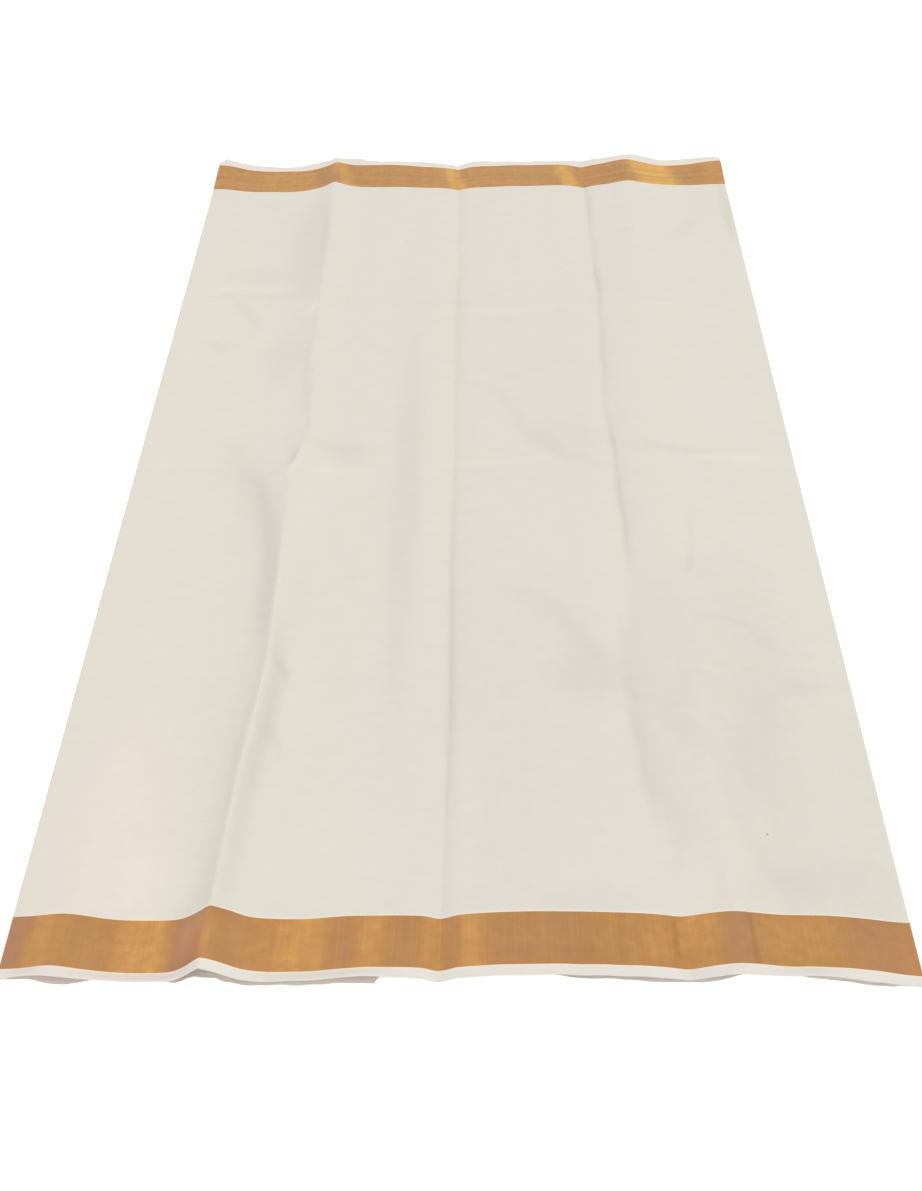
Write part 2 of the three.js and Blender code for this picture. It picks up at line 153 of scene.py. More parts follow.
# Bumps along X: where, how far they reach, and how much they shift. First how the near and far
# edges bow in Y, fading out into the pack, and how much further in the lowest layers lie.
Bump = namedtuple("Bump", "x reach shift")
NEAR_BOWS = [
    Bump(0.120, 0.150, 0.004), Bump(-0.245, 0.060, -0.0035), Bump(-0.140, 0.045, -0.0020),
    Bump(-0.189, 0.022, 0.0025), Bump(-0.0125, 0.009, -0.0011), Bump(0.346, 0.022, -0.0010),
]
FAR_BOWS = [Bump(-0.060, 0.230, -0.004), Bump(-0.268, 0.055, -0.010)]
BOW_FADE = 0.300  # how far in from each edge the bows fade out
SLIPS = {
    INNER_END: [Bump(-0.335, 0.020, 0.0028), Bump(-0.300, 0.014, 0.0005), Bump(-0.250, 0.036, 0.0085),
                Bump(-0.194, 0.014, 0.0062), Bump(-0.110, 0.080, 0.0016)],
    SECOND: [Bump(-0.240, 0.150, 0.0095), Bump(0, 0.072, 0.009), Bump(0.095, 0.045, 0.0022),
             Bump(0.253, 0.050, 0.0095), Bump(0.322, 0.050, 0.0068)],
}

# Where the top stretch's near selvage curls up, and how far.
NEAR_CURLS = [
    Bump(-0.332, 0.022, 0.0050), Bump(-0.248, 0.044, 0.0040), Bump(-0.098, 0.050, 0.0038),
    Bump(0.264, 0.026, 0.0030),
]
# The same at the far selvage, on top of its even curl.
FAR_CURLS = [
    Bump(-0.346, 0.013, 0.0036), Bump(-0.247, 0.022, -0.0020), Bump(-0.157, 0.012, 0.0036),
    Bump(-0.102, 0.030, -0.0028), Bump(0.060, 0.034, -0.0020), Bump(0.118, 0.022, -0.0015),
    Bump(0.238, 0.018, 0.0022),
]

# The inside layers' edges: how far they lie in from the top stretch's edge, and how they wander.
Inset = namedtuple("Inset", "near far wander turns phase")
INSETS = {
    1: Inset(0.0085, 0.004, 0.0012, 6, 5.2),
    2: Inset(0.0095, 0.005, 0.0016, 4, 3.9),
    3: Inset(0.0090, 0.003, 0.0012, 5, 2.8),
    4: Inset(0.0105, 0.006, 0.0016, 5, 2.1),
    5: Inset(0.0100, 0.005, 0.0014, 3, 0.9),
    6: Inset(0.0110, 0.007, 0.0012, 3, 0.4),
}
# Where their near edges lie less far in, and show.
REVEALS = [
    Bump(-0.178, 0.026, -0.0055), Bump(0.140, 0.050, -0.0055), Bump(0.306, 0.054, -0.0058),
    Bump(0.319, 0.022, -0.0030),
]

# Small creases in the top stretch, pressed or rumpled in. The widest hollows press the layers
# below too. Each follows its points, given as x, y and the crease's height there, and spreads
# over its reach on either side. shade: how much painted shade darkens the cloth along it, or
# how much painted light lightens it where negative. power: how rounded it is.
Crease = namedtuple("Crease", "name reach shade points power", defaults=(2,))
CREASES = [
    Crease("left ridge pinch", 0.0036, -0.3, [
        (-0.180, -0.090, 0), (-0.178, -0.200, 0.0018), (-0.1766, -0.300, 0.0032),
        (-0.1844, -0.400, 0.0034), (-0.1885, -0.480, 0.0028), (-0.1900, -0.560, 0)], 1.5),
    Crease("left ridge trough, left", 0.0100, 0.65, [
        (-0.236, 0.016, 0), (-0.222, -0.030, -0.0007), (-0.205, -0.080, -0.0017),
        (-0.194, -0.140, -0.0026), (-0.190, -0.190, -0.0026), (-0.190, -0.235, -0.0018),
        (-0.192, -0.290, 0)]),
    Crease("left ridge trough, near", 0.0150, 0.08, [
        (-0.206, -0.270, 0), (-0.214, -0.340, -0.0004), (-0.220, -0.420, -0.0006),
        (-0.222, -0.490, -0.0006), (-0.220, -0.560, 0)]),
    Crease("left ridge hollow, right", 0.0085, 0.9, [
        (-0.173, -0.225, 0), (-0.167, -0.290, -0.0012), (-0.168, -0.345, -0.0018),
        (-0.174, -0.400, -0.0017), (-0.178, -0.450, -0.0013), (-0.181, -0.500, -0.0010),
        (-0.184, -0.560, 0)]),
    Crease("left ridge wrinkle, upper", 0.0040, 0.6, [
        (-0.176, -0.272, 0), (-0.163, -0.296, -0.0012), (-0.150, -0.322, 0)]),
    Crease("left ridge wrinkle, lower", 0.0040, 0.5, [
        (-0.168, -0.352, 0), (-0.159, -0.374, -0.0010), (-0.149, -0.405, 0)]),
    Crease("left ridge fan", 0.0130, 0.40, [
        (-0.258, 0.024, 0), (-0.255, 0.012, -0.0008), (-0.241, -0.024, -0.0013),
        (-0.218, -0.056, -0.0016), (-0.205, -0.094, -0.0012), (-0.200, -0.150, 0)]),
    Crease("left ridge kink", 0.0052, 0.9, [
        (-0.178, 0.008, 0), (-0.182, -0.018, -0.0016), (-0.187, -0.032, 0)]),
    Crease("left ridge pleat", 0.0034, -0.5, [
        (-0.190, -0.046, 0), (-0.182, -0.030, 0.0012), (-0.176, -0.012, 0.0010), (-0.175, 0.004, 0)]),
    Crease("left ridge tuck, upper", 0.0105, 0.35, [
        (-0.172, 0.008, 0), (-0.150, 0.004, -0.0006), (-0.117, -0.003, -0.0006), (-0.092, -0.004, 0)]),
    Crease("left ridge tuck, lower", 0.0090, -0.25, [
        (-0.174, -0.024, 0), (-0.150, -0.030, 0.0016), (-0.120, -0.034, 0.0012), (-0.094, -0.034, 0)]),
    Crease("far left trough", 0.0080, 0.3, [
        (-0.196, 0.500, 0), (-0.184, 0.400, -0.0010), (-0.181, 0.290, -0.0004)]),
    Crease("far left line", 0.0034, 0.4, [
        (-0.179, 0.262, -0.0002), (-0.180, 0.225, -0.0008), (-0.178, 0.160, -0.0004),
        (-0.175, 0.100, -0.0009), (-0.173, 0.050, -0.0006), (-0.170, 0.012, -0.0003)], 1.5),
    Crease("far left line, second", 0.0040, 0.3, [
        (-0.184, 0.200, 0), (-0.184, 0.150, -0.0006), (-0.181, 0.100, -0.0006), (-0.180, 0.050, 0)]),
    Crease("far left tuck", 0.0060, -0.5, [
        (-0.200, 0.230, 0), (-0.188, 0.243, 0.0015), (-0.178, 0.259, 0)]),
    Crease("far left hollow", 0.0140, 0.25, [
        (-0.320, 0.318, 0), (-0.262, 0.320, -0.0008), (-0.205, 0.312, 0)]),
    Crease("far left dent, slanting", 0.0060, 0.4, [
        (-0.290, 0.272, 0), (-0.273, 0.256, -0.0012), (-0.255, 0.225, -0.0010), (-0.240, 0.203, 0)]),
    Crease("far left dent, level", 0.0070, 0.4, [
        (-0.320, 0.184, 0), (-0.290, 0.178, -0.0010), (-0.260, 0.176, 0)]),
    Crease("middle valley line", 0.0026, 0.7, [
        (-0.016, 0.520, 0), (-0.014, 0.355, -0.0001), (-0.013, 0.255, -0.0006),
        (-0.011, 0.006, -0.0004), (-0.012, -0.140, -0.0009), (-0.010, -0.282, -0.0012),
        (-0.010, -0.370, -0.0010), (-0.011, -0.448, -0.0005), (-0.011, -0.500, 0)], 1.3),
    Crease("right valley line, far", 0.0030, 0.9, [
        (0.156, 0.530, -0.0006), (0.158, 0.480, -0.0013), (0.157, 0.430, -0.0009),
        (0.159, 0.380, -0.0007), (0.158, 0.330, -0.0012), (0.160, 0.300, -0.0013),
        (0.158, 0.250, -0.0008), (0.159, 0.210, -0.0007), (0.156, 0.170, -0.0011),
        (0.157, 0.128, -0.0009), (0.154, 0.090, -0.0006), (0.156, 0.050, -0.0009),
        (0.158, 0.015, -0.0011)], 1.3),
    Crease("right valley line, middle", 0.0034, 0.9, [
        (0.158, 0.015, -0.0010), (0.159, -0.035, -0.0012), (0.159, -0.070, -0.0014),
        (0.161, -0.100, -0.0012), (0.161, -0.140, -0.0008), (0.159, -0.175, 0)], 1.4),
    Crease("right valley line, near", 0.0066, 0.65, [
        (0.148, -0.215, 0), (0.148, -0.260, -0.0005), (0.150, -0.302, -0.0008),
        (0.153, -0.356, -0.0011), (0.157, -0.396, -0.0012), (0.160, -0.425, -0.0009),
        (0.165, -0.450, 0)], 1.9),
    Crease("right valley filling", 0.0110, 0, [
        (0.160, -0.440, 0), (0.169, -0.490, 0.0020), (0.172, -0.530, 0.0016), (0.174, -0.565, 0)]),
    Crease("right diagonal", 0.0090, 0.35, [
        (0.020, 0.125, 0), (0.033, 0.092, -0.0010), (0.046, 0.064, -0.0014), (0.062, 0.036, -0.0016),
        (0.084, 0.008, -0.0018), (0.108, -0.010, -0.0018), (0.134, -0.017, -0.0012),
        (0.158, -0.020, 0)]),
    Crease("right diagonal lip", 0.0040, -0.2, [
        (0.022, 0.100, 0), (0.034, 0.076, 0.0008), (0.048, 0.052, 0.0008), (0.064, 0.024, 0)]),
    Crease("far right diagonal", 0.0075, 0.2, [
        (0.320, 0.480, 0), (0.290, 0.436, -0.0004), (0.262, 0.402, -0.0004), (0.240, 0.372, 0)]),
    Crease("near row", 0.0120, 0.4, [
        (0.020, -0.190, 0), (0.073, -0.216, -0.0010), (0.110, -0.262, -0.0012), (0.137, -0.303, 0)]),
    Crease("near right wrinkle", 0.0098, 0.30, [
        (0.160, -0.285, 0), (0.178, -0.345, -0.0005), (0.205, -0.370, -0.0005),
        (0.219, -0.395, -0.0007), (0.223, -0.433, -0.0008), (0.234, -0.469, -0.0008),
        (0.249, -0.499, -0.0006), (0.266, -0.515, 0)]),
    Crease("near right dent, upper", 0.0110, 0.25, [
        (0.220, -0.335, 0), (0.231, -0.375, -0.0006), (0.239, -0.405, -0.0007), (0.247, -0.445, 0)]),
    Crease("near right dent, level", 0.0100, 0.40, [
        (0.276, -0.310, 0), (0.300, -0.313, -0.0007), (0.330, -0.308, 0)]),
    Crease("near right line", 0.0040, 0.35, [
        (0.205, -0.228, 0), (0.230, -0.232, -0.0005), (0.255, -0.238, -0.0005),
        (0.280, -0.260, -0.0006), (0.289, -0.284, 0)]),
    Crease("right field wrinkle", 0.0042, 0.35, [
        (0.227, -0.070, 0), (0.226, -0.105, -0.0005), (0.225, -0.135, -0.0004),
        (0.219, -0.165, -0.0006), (0.217, -0.190, 0)]),
    Crease("right valley border line", 0.0020, 0.8, [
        (0.167, -0.536, -0.0005), (0.168, -0.562, -0.0005)]),
    Crease("right ridge border line", 0.0018, 0.7, [
        (0.223, -0.533, -0.0004), (0.224, -0.572, -0.0005)]),
    Crease("near right dent, far", 0.0075, 0.25, [
        (0.190, -0.175, 0), (0.214, -0.168, -0.0007), (0.246, -0.182, 0)]),
    Crease("right cross line, dark", 0.0062, 0.45, [
        (0.168, 0.012, 0), (0.200, 0.004, -0.0008), (0.235, -0.004, -0.0007), (0.268, -0.007, 0)]),
    Crease("right cross line, light", 0.0045, -0.35, [
        (0.222, -0.013, 0), (0.262, -0.012, 0.0014), (0.300, -0.013, 0.0014), (0.340, -0.015, 0.0008)]),
    Crease("far cross groove", 0.0044, 0.3, [
        (-0.338, 0.272, -0.0002), (-0.300, 0.2775, -0.0006), (-0.240, 0.277, -0.0009),
        (-0.199, 0.2745, -0.0006), (-0.120, 0.262, -0.0002), (-0.017, 0.264, -0.0005),
        (0.063, 0.262, -0.0001), (0.160, 0.264, -0.0003), (0.330, 0.252, 0)], 1.8),
    Crease("far cross swell, left", 0.0060, -0.15, [
        (-0.340, 0.284, 0.0006), (-0.300, 0.290, 0.0012), (-0.240, 0.289, 0.0008), (-0.200, 0.286, 0)]),
    Crease("far cross swell, middle", 0.0055, -0.25, [
        (-0.010, 0.250, 0), (0.040, 0.244, 0.0012), (0.085, 0.246, 0.0010), (0.112, 0.250, 0)]),
    Crease("middle cross line", 0.0036, -0.15, [
        (-0.330, -0.016, 0.0003), (-0.220, -0.026, 0.0006), (-0.090, -0.030, 0.0003),
        (0, -0.020, 0.0008), (0.158, -0.014, 0.0006)], 1.6),
    Crease("near cross line", 0.0035, 0, [
        (-0.330, -0.303, 0.0005), (-0.215, -0.306, 0.0004), (0.020, -0.296, 0), (0.200, -0.291, 0.0006),
        (0.330, -0.300, 0.0005)], 1.6),
]


def smooth(share):
    """Eases a share from 0 to 1."""
    t = np.clip(share, 0, 1)
    return t * t * (3 - 2 * t)


def path_at(places, y):
    """X of a line across the pack at y, through its near, middle and far places."""
    near, middle, far = places
    t = y / FAR
    return middle + (far - near) / 2 * t + ((far + near) / 2 - middle) * t * t


def lift_at(lifts, y):
    """Height at y of what has the given heights at the lift stations."""
    share = np.clip(y / CLOTH_WIDTH + 0.5, 0, 1)
    i = np.clip(np.searchsorted(LIFT_STATIONS, share) - 1, 0, len(LIFT_STATIONS) - 2)
    t = smooth((share - LIFT_STATIONS[i]) / (LIFT_STATIONS[i + 1] - LIFT_STATIONS[i]))
    heights = np.array(lifts, float)
    return heights[i] * (1 - t) + heights[i + 1] * t


def fold_line(fold, y):
    """X of a fold's crest or valley at y."""
    sways = SWAYS.get(fold.name, [])
    return path_at(fold.x, y) + sum(s.shift * np.exp(-(((y - s.y) / s.reach) ** 2)) for s in sways)


def fold_lift(fold, x, y):
    """Height that one ridge, swell or valley adds."""
    across = x - fold_line(fold, y)
    reach = np.where(across < 0, *fold.reach)
    return lift_at(fold.lift, y) * np.exp(-((np.abs(across) / reach) ** fold.power))


def bump(rows, x):
    """The sum of flat-topped bumps along X."""
    return sum(row.shift * np.exp(-(((x - row.x) / row.reach) ** 4)) for row in rows)


def curve_through(points, steps=10):
    """Smooth line through a crease's points, with the lift at each step of it."""
    rows = np.array(points, float)
    padded = np.vstack((2 * rows[0] - rows[1], rows, 2 * rows[-1] - rows[-2]))
    line = []
    for a, b, c, d in zip(padded, padded[1:], padded[2:], padded[3:]):
        for t in np.arange(steps) / steps:
            line.append(b + t / 2 * (c - a + t * (2 * a - 5 * b + 4 * c - d + t * (3 * (b - c) + d - a))))
    return np.array(line + [rows[-1]])


def crease_lift(crease, x, y):
    """Height of one crease over the grid, from the nearest place on its line."""
    x, y = np.broadcast_arrays(x, y)
    line = curve_through(crease.points)
    low, high = line.min(axis=0) - 4.5 * crease.reach, line.max(axis=0) + 4.5 * crease.reach
    close = (x > low[0]) & (x < high[0]) & (y > low[1]) & (y < high[1])
    px, py = x[close], y[close]
    lift = np.zeros(px.shape)
    nearest = np.full(px.shape, np.inf)
    for (ax, ay, az), (bx, by, bz) in zip(line, line[1:]):
        run = np.hypot(bx - ax, by - ay) ** 2
        t = np.clip(((px - ax) * (bx - ax) + (py - ay) * (by - ay)) / run, 0, 1)
        away = np.hypot(px - ax - t * (bx - ax), py - ay - t * (by - ay))
        closer = away < nearest
        nearest = np.where(closer, away, nearest)
        lift = np.where(closer, az + t * (bz - az), lift)
    result = np.zeros(x.shape)
    result[close] = lift * np.exp(-((nearest / crease.reach) ** crease.power))
    return result


def soft_waves(x, y, seed, longest, shortest, count=14):
    """Slow, uneven waves between about -1 and 1, the same each time."""
    chance = np.random.default_rng(seed)
    total = 0
    for _ in range(count):
        length = chance.uniform(shortest, longest)
        turn, phase = chance.uniform(0, 2 * np.pi, 2)
        total = total + np.sin(2 * np.pi * (x * np.cos(turn) + y * np.sin(turn)) / length + phase)
    return total / np.sqrt(count)


def right_side(y):
    """X of the right fold at y."""
    return RIGHT - TAPER * (y - NEAR) / CLOTH_WIDTH


def side_ease(x, y):
    """0 at the side folds, 1 in the flat between them."""
    from_left = smooth((x - LEFT - SIDE_ROUND) / SIDE_EASE)
    return from_left * smooth((right_side(y) - SIDE_ROUND - x) / SIDE_EASE)


def top_height(x, y):
    """Height of the top stretch's upper face."""
    z = PACK + LOFT * (1 - (x / RIGHT) ** 8)
    for fold in FOLDS:
        z = z + fold_lift(fold, x, y)
    for crease in CROSS_CREASES:
        line = crease.left + (crease.right - crease.left) * (x - LEFT) / STRETCH
        z = z + crease.lift * np.exp(-(((y - line) / crease.reach) ** 2))
    return z


def rumple(x, y):
    """What the top stretch alone has on top of that: its creases and a slight unevenness."""
    z = sum(crease_lift(crease, x, y) for crease in CREASES)
    z = z + UNEVENNESS * soft_waves(x, y, seed=4, longest=0.110, shortest=0.035)
    curl = CURL * (1 + 0.35 * soft_waves(x, 0 * y, seed=9, longest=0.160, shortest=0.060))
    z = z + curl * smooth((y - FAR + SELVAGE + CURL_ROOT) / (SELVAGE + CURL_ROOT))
    z = z + bump(FAR_CURLS, x) * smooth((y - FAR + SELVAGE) / SELVAGE)
    z = z + bump(NEAR_CURLS, x) * smooth((NEAR + SELVAGE - y) / SELVAGE)
    return z * side_ease(x, y)


def end_edge(y):
    """X of the inner end's cut edge, which is cut off aslant at its near corner."""
    corner = END_CORNER * (1 - smooth((y - NEAR) / END_CORNER_REACH))
    return LEFT + END_REACH + END_SKEW * (y - NEAR) / CLOTH_WIDTH - corner


def level_height(level, x, y):
    """Height of the middle of a layer's cloth."""
    upper = top_height(x, y) - CLOTH / 2
    if level == TOP:
        return upper + rumple(x, y)
    if level == INNER_END:
        return CLOTH / 2 + 0 * x
    over_end = smooth((end_edge(y) + END_STEP - x) / END_STEP)
    lowest = CLOTH / 2 + END_CLEARANCE * CLOTH * over_end
    if level == SECOND:
        return lowest
    for fold in FOLDS:
        upper = upper - (1 - fold.carried ** level) * np.maximum(0, fold_lift(fold, x, y))
    for crease in CREASES:
        if crease.reach > PRESSED_THROUGH:
            upper = upper + np.minimum(0, crease_lift(crease, x, y))
    upper = upper - SLACK * side_ease(x, y)
    return lowest + (upper - lowest) * (1 - level / SECOND)


def shift_at(level, x, v):
    """How far a layer's point at v across the weave is moved in Y."""
    from_near = 1 - smooth((v - NEAR) / BOW_FADE)
    from_far = 1 - smooth((FAR - v) / BOW_FADE)
    shift = bump(NEAR_BOWS, x) * from_near + bump(FAR_BOWS, x) * from_far
    if level in SLIPS:
        shift = shift + bump(SLIPS[level], x) * from_near
    ripple = RIPPLE * soft_waves(x, 0 * x, seed=21 + level, longest=0.045, shortest=0.018)
    far_ripple = 1 - smooth((FAR - v) / RIPPLE_REACH)
    shift = shift + ripple * (1 - smooth((v - NEAR) / RIPPLE_REACH) - far_ripple)
    if level in INSETS:
        inset = INSETS[level]
        wander = inset.wander * np.sin(2 * np.pi * inset.turns * (x - LEFT) / STRETCH + inset.phase)
        near = np.maximum(LEAST_INSET, inset.near + wander + bump(REVEALS, x))
        shift = shift + near * from_near - (inset.far + wander / 2) * from_far
    return shift


# ---- The folded cloth as a grid ----------------------------------------------------------
# A folded length of cloth is a list of columns. Each column holds x, z and the shift in y at every row.


def left_centre(v):
    """X of the middle of the left fold's round."""
    radius = PACK / 2
    for _ in range(4):
        radius = top_height(LEFT + radius, v) / 2
    return LEFT + radius


def right_centre(level, v):
    """X of the middle of the right fold's round that a layer turns in."""
    in_upper = level <= UPPER_BACK
    outer, inner = (TOP, UPPER_BACK) if in_upper else (LOWER_OUT, SECOND)
    edge = right_side(v) if in_upper else right_side(v) - FOLD_SET_BACK
    x = edge - PACK / 4
    for _ in range(4):
        x = edge - (level_height(outer, x, v) - level_height(inner, x, v) + CLOTH) / 2
    return x


def run(level, v, start, stop, count):
    """Columns of a flat run on a layer, from start to stop, which may differ from row to row."""
    shares = np.arange(count) / count
    return [(x, level_height(level, x, v), shift_at(level, x, v))
            for x in (start + (stop - start) * share for share in shares)]


def top_run(v, counts, pull=0.8):
    """Columns of the top stretch, closer together towards the crest lines."""
    lines = [left_centre(v), *(fold_line(fold, v) for fold in CREST_LINES), right_centre(TOP, v)]
    columns = []
    for start, stop, count in zip(lines, lines[1:], counts):
        even = np.arange(count) / count
        for share in (1 - pull) * even + pull * (1 - np.cos(np.pi * even)) / 2:
            x = start + (stop - start) * share
            columns.append((x, level_height(TOP, x, v), shift_at(TOP, x, v)))
    return columns


def turn(side, leaves, reaches, v, steps):
    """Columns of a fold's round, from one layer to another."""
    upper, lower = sorted((leaves, reaches))
    centre = left_centre(v) if side < 0 else right_centre(upper, v)
    high, low = level_height(upper, centre, v), level_height(lower, centre, v)
    columns = []
    for share in np.arange(steps) / steps:
        angle = np.pi * (share if leaves == upper else 1 - share)
        x = centre + side * (high - low) / 2 * np.sin(angle)
        z = (high + low) / 2 + (high - low) / 2 * np.cos(angle)
        mix = smooth(angle / np.pi)
        shift = shift_at(upper, centre, v) * (1 - mix) + shift_at(lower, centre, v) * mix
        columns.append((x, z, shift))
    return columns


def grid_of(columns, v):
    """Points (rows, columns, 3) of a folded length of cloth."""
    x, z, shift = (np.array([column[i] for column in columns]).T for i in range(3))
    return np.stack((x, v[:, None] + shift, z), axis=-1)


def rows_between(low, high, spacing):
    """Rows across the weave, closer together on the pressed creases and near the edges."""
    y = np.linspace(low, high, 2000)
    crease_reach, crease_extra = 0.014, 1.6
    edge_reach, edge_extra = 0.12, 0.5
    middles = [(crease.left + crease.right) / 2 for crease in CROSS_CREASES]
    near_crease = sum(np.exp(-(((y - middle) / crease_reach) ** 2)) for middle in middles)
    near_edge = np.exp(-(((y - NEAR) / edge_reach) ** 2)) + np.exp(-(((y - FAR) / edge_reach) ** 2))
    density = (1 + crease_extra * near_crease + edge_extra * near_edge) / spacing
    total = np.concatenate(((0,), np.cumsum((density[1:] + density[:-1]) / 2 * np.diff(y))))
    count = max(2, round(total[-1]))
    return np.interp(np.linspace(0, total[-1], count + 1), total, y)


def weave_rows(coarseness):
    """All rows, and the first and last row of each strip."""
    rows, ends = [], {}
    for strip in STRIPS:
        inside = rows_between(strip.low, strip.high, strip.spacing * coarseness)
        first = max(0, len(rows) - 1)
        rows.extend(inside if not rows else inside[1:])
        ends[strip.name] = (first, len(rows) - 1)
    return np.array(rows), ends


# ---- Meshes ------------------------------------------------------------------------------


def add_object(name, data):
    """Puts a mesh, a light or the camera into the scene."""
    made = bpy.data.objects.new(name, data)
    bpy.context.scene.collection.objects.link(made)
    return made


def grid_normals(points):
    """Which way the cloth faces at each grid point."""
    along = np.gradient(points, axis=1)
    across = np.gradient(points, axis=0)
    normals = np.cross(along, across)
    return normals / np.maximum(np.linalg.norm(normals, axis=2, keepdims=True), 1e-12)


def shell(name, points, normals, thickness, lengths, weave, attributes):
    """A thin closed shell of cloth with the grid in its middle, with its weave as the UV map."""
    rows, columns = points.shape[:2]
    half = normals * thickness / 2
    vertices = np.concatenate(((points + half).reshape(-1, 3), (points - half).reshape(-1, 3)))
    ids = np.arange(rows * columns).reshape(rows, columns)
    back = ids + rows * columns

    def quads(a, b, c, d):
        return np.stack([corner.ravel() for corner in (a, b, c, d)], axis=1)

    faces = np.concatenate([
        quads(ids[:-1, :-1], ids[:-1, 1:], ids[1:, 1:], ids[1:, :-1]),
        quads(back[:-1, :-1], back[1:, :-1], back[1:, 1:], back[:-1, 1:]),
        quads(ids[0, :-1], back[0, :-1], back[0, 1:], ids[0, 1:]),
        quads(ids[-1, 1:], back[-1, 1:], back[-1, :-1], ids[-1, :-1]),
        quads(ids[1:, 0], back[1:, 0], back[:-1, 0], ids[:-1, 0]),
        quads(ids[:-1, -1], back[:-1, -1], back[1:, -1], ids[1:, -1]),
    ])
    mesh = bpy.data.meshes.new(name)
    mesh.from_pydata(vertices.tolist(), [], faces.tolist())
    mesh.update()
    mesh.shade_smooth()
    mesh.set_sharp_from_angle(angle=np.radians(50))
    u, v = np.broadcast_arrays(lengths[None, :], weave[:, None])
    cloth_place = np.stack((u, v), axis=-1).reshape(-1, 2)
    corners = np.zeros(len(mesh.loops), np.int32)
    mesh.loops.foreach_get("vertex_index", corners)
    mesh.uv_layers.new(name="cloth").data.foreach_set(
        "uv", cloth_place[corners % (rows * columns)].astype(np.float32).ravel())
    for label, values in attributes.items():
        layer = mesh.attributes.new(label, "FLOAT", "POINT")
        both = np.concatenate((values.ravel(), values.ravel()))
        layer.data.foreach_set("value", both.astype(np.float32))
    return add_object(name, mesh)


# ---- Colour over the cloth ---------------------------------------------------------------

# Soft patches where the cream is warmer or cooler, and patches of painted shade, or painted light where
# negative: place, reach and strength.
Patch = namedtuple("Patch", "x y reach_x reach_y strength")
# The second warm patch, at the near left, is painted light as well as a warmer tone.
WARM_PATCHES = [Patch(-0.300, 0, 0.090, 0.600, 0.2), Patch(-0.280, -0.480, 0.065, 0.130, 0.4)]
COOL_PATCHES = [
    Patch(0.060, -0.400, 0.130, 0.250, 0.28), Patch(0.075, -0.380, 0.070, 0.160, 0.22),
    Patch(0.100, 0.100, 0.060, 0.200, 0.3),
]
# Painted shade, and painted light where the strength is negative, on the field and the near border.
SHADE_PATCHES = [
    Patch(-0.205, 0.380, 0.024, 0.110, 0.35), Patch(-0.060, -0.080, 0.017, 0.270, 0.35),
    Patch(0.235, -0.270, 0.075, 0.110, 0.25), Patch(0.262, -0.400, 0.030, 0.090, 0.25),
    Patch(0.115, -0.300, 0.040, 0.030, 0.35), Patch(0.300, -0.505, 0.045, 0.030, 0.25),
    Patch(-0.158, -0.085, 0.020, 0.070, -0.14), Patch(-0.141, -0.340, 0.018, 0.070, -0.12),
    Patch(-0.212, 0.155, 0.024, 0.050, 0.25), Patch(0.110, 0.018, 0.042, 0.026, 0.20),
    Patch(0.300, -0.420, 0.100, 0.250, 0.09), Patch(-0.262, 0.050, 0.050, 0.500, 0.05),
    Patch(-0.060, 0.150, 0.035, 0.350, 0.05), Patch(0.120, 0, 0.030, 0.450, 0.04),
    Patch(0.187, -0.520, 0.015, 0.045, -0.40), Patch(-0.234, -0.035, 0.030, 0.055, 0.12),
    Patch(-0.222, -0.105, 0.022, 0.060, 0.08), Patch(-0.243, -0.505, 0.030, 0.035, -0.25),
    Patch(-0.100, -0.490, 0.045, 0.060, -0.18), Patch(0.002, -0.440, 0.014, 0.100, -0.20),
    Patch(0.325, -0.450, 0.030, 0.130, 0.14), Patch(-0.158, -0.210, 0.016, 0.070, 0.12),
    Patch(0.100, -0.522, 0.040, 0.012, 0.25), Patch(0.338, 0.460, 0.008, 0.070, 0.50),
    Patch(-0.205, -0.440, 0.016, 0.100, -0.12), Patch(-0.120, -0.010, 0.030, 0.016, 0.12),
    Patch(0.250, -0.512, 0.040, 0.020, 0.20), Patch(0.110, -0.556, 0.032, 0.021, 0.35),
    Patch(-0.199, -0.556, 0.012, 0.021, -1.45), Patch(-0.239, -0.556, 0.024, 0.021, -0.15),
    Patch(0.010, -0.556, 0.012, 0.021, -0.15),
]

# The speck in the cloth. Heights count for little in how far away from it a place is.
SPECK_FLATNESS = 0.12
SPECK = (0.2495, -0.461, SPECK_FLATNESS * 0.0105)

# Where the painted shade on what lies under the top stretch's near edge is darker, or lighter where
# negative.
UNDER_SHADES = [Bump(-0.204, 0.013, 1.1), Bump(-0.305, 0.035, -0.3), Bump(0.130, 0.080, -0.6),
                Bump(0.290, 0.080, -1.6)]

# Painted shade over what the top stretch covers, fading out towards its near and far edges.
UNDER_SHADE = 1.4  # how much darker the rest of it is
UNDER_LIP = 0.0015  # how far outside the near edge that begins
UNDER_NEAR_FADE, UNDER_FAR_FADE = 0.011, 0.030  # how far in from each edge it is full
# Painted warm bounce light: what lies under the top stretch is warmer near the near and far edges, most at
# the left.
GLOW_REACH = 0.020
GLOW_END, GLOW_FADE = 0.060, 0.200  # X where only the least is left, and how far before it starts
LEAST_GLOW = 0.25

# Painted highlights and shade on the borders, along X: 1 is a bright gold painted gleam, -1 the rosy brown
# of painted shade.
Gleam = namedtuple("Gleam", "x reach strength")
NEAR_GLEAMS = [
    Gleam(-0.343, 0.012, -1.6), Gleam(-0.318, 0.013, 0.7), Gleam(-0.278, 0.016, -0.3),
    Gleam(-0.240, 0.022, 1.05), Gleam(-0.206, 0.014, -1.7), Gleam(-0.176, 0.016, -0.5),
    Gleam(-0.120, 0.021, 1.0), Gleam(-0.089, 0.009, -0.6), Gleam(-0.066, 0.010, 0.8),
    Gleam(-0.041, 0.010, -0.6), Gleam(-0.020, 0.009, 0.5), Gleam(-0.004, 0.006, -0.5),
    Gleam(0.012, 0.010, 1.0), Gleam(0.058, 0.042, -0.7), Gleam(0.140, 0.030, 0.1),
    Gleam(0.187, 0.012, 0.4), Gleam(0.214, 0.014, -0.9), Gleam(0.262, 0.026, 0.4),
    Gleam(0.318, 0.030, -0.8),
]
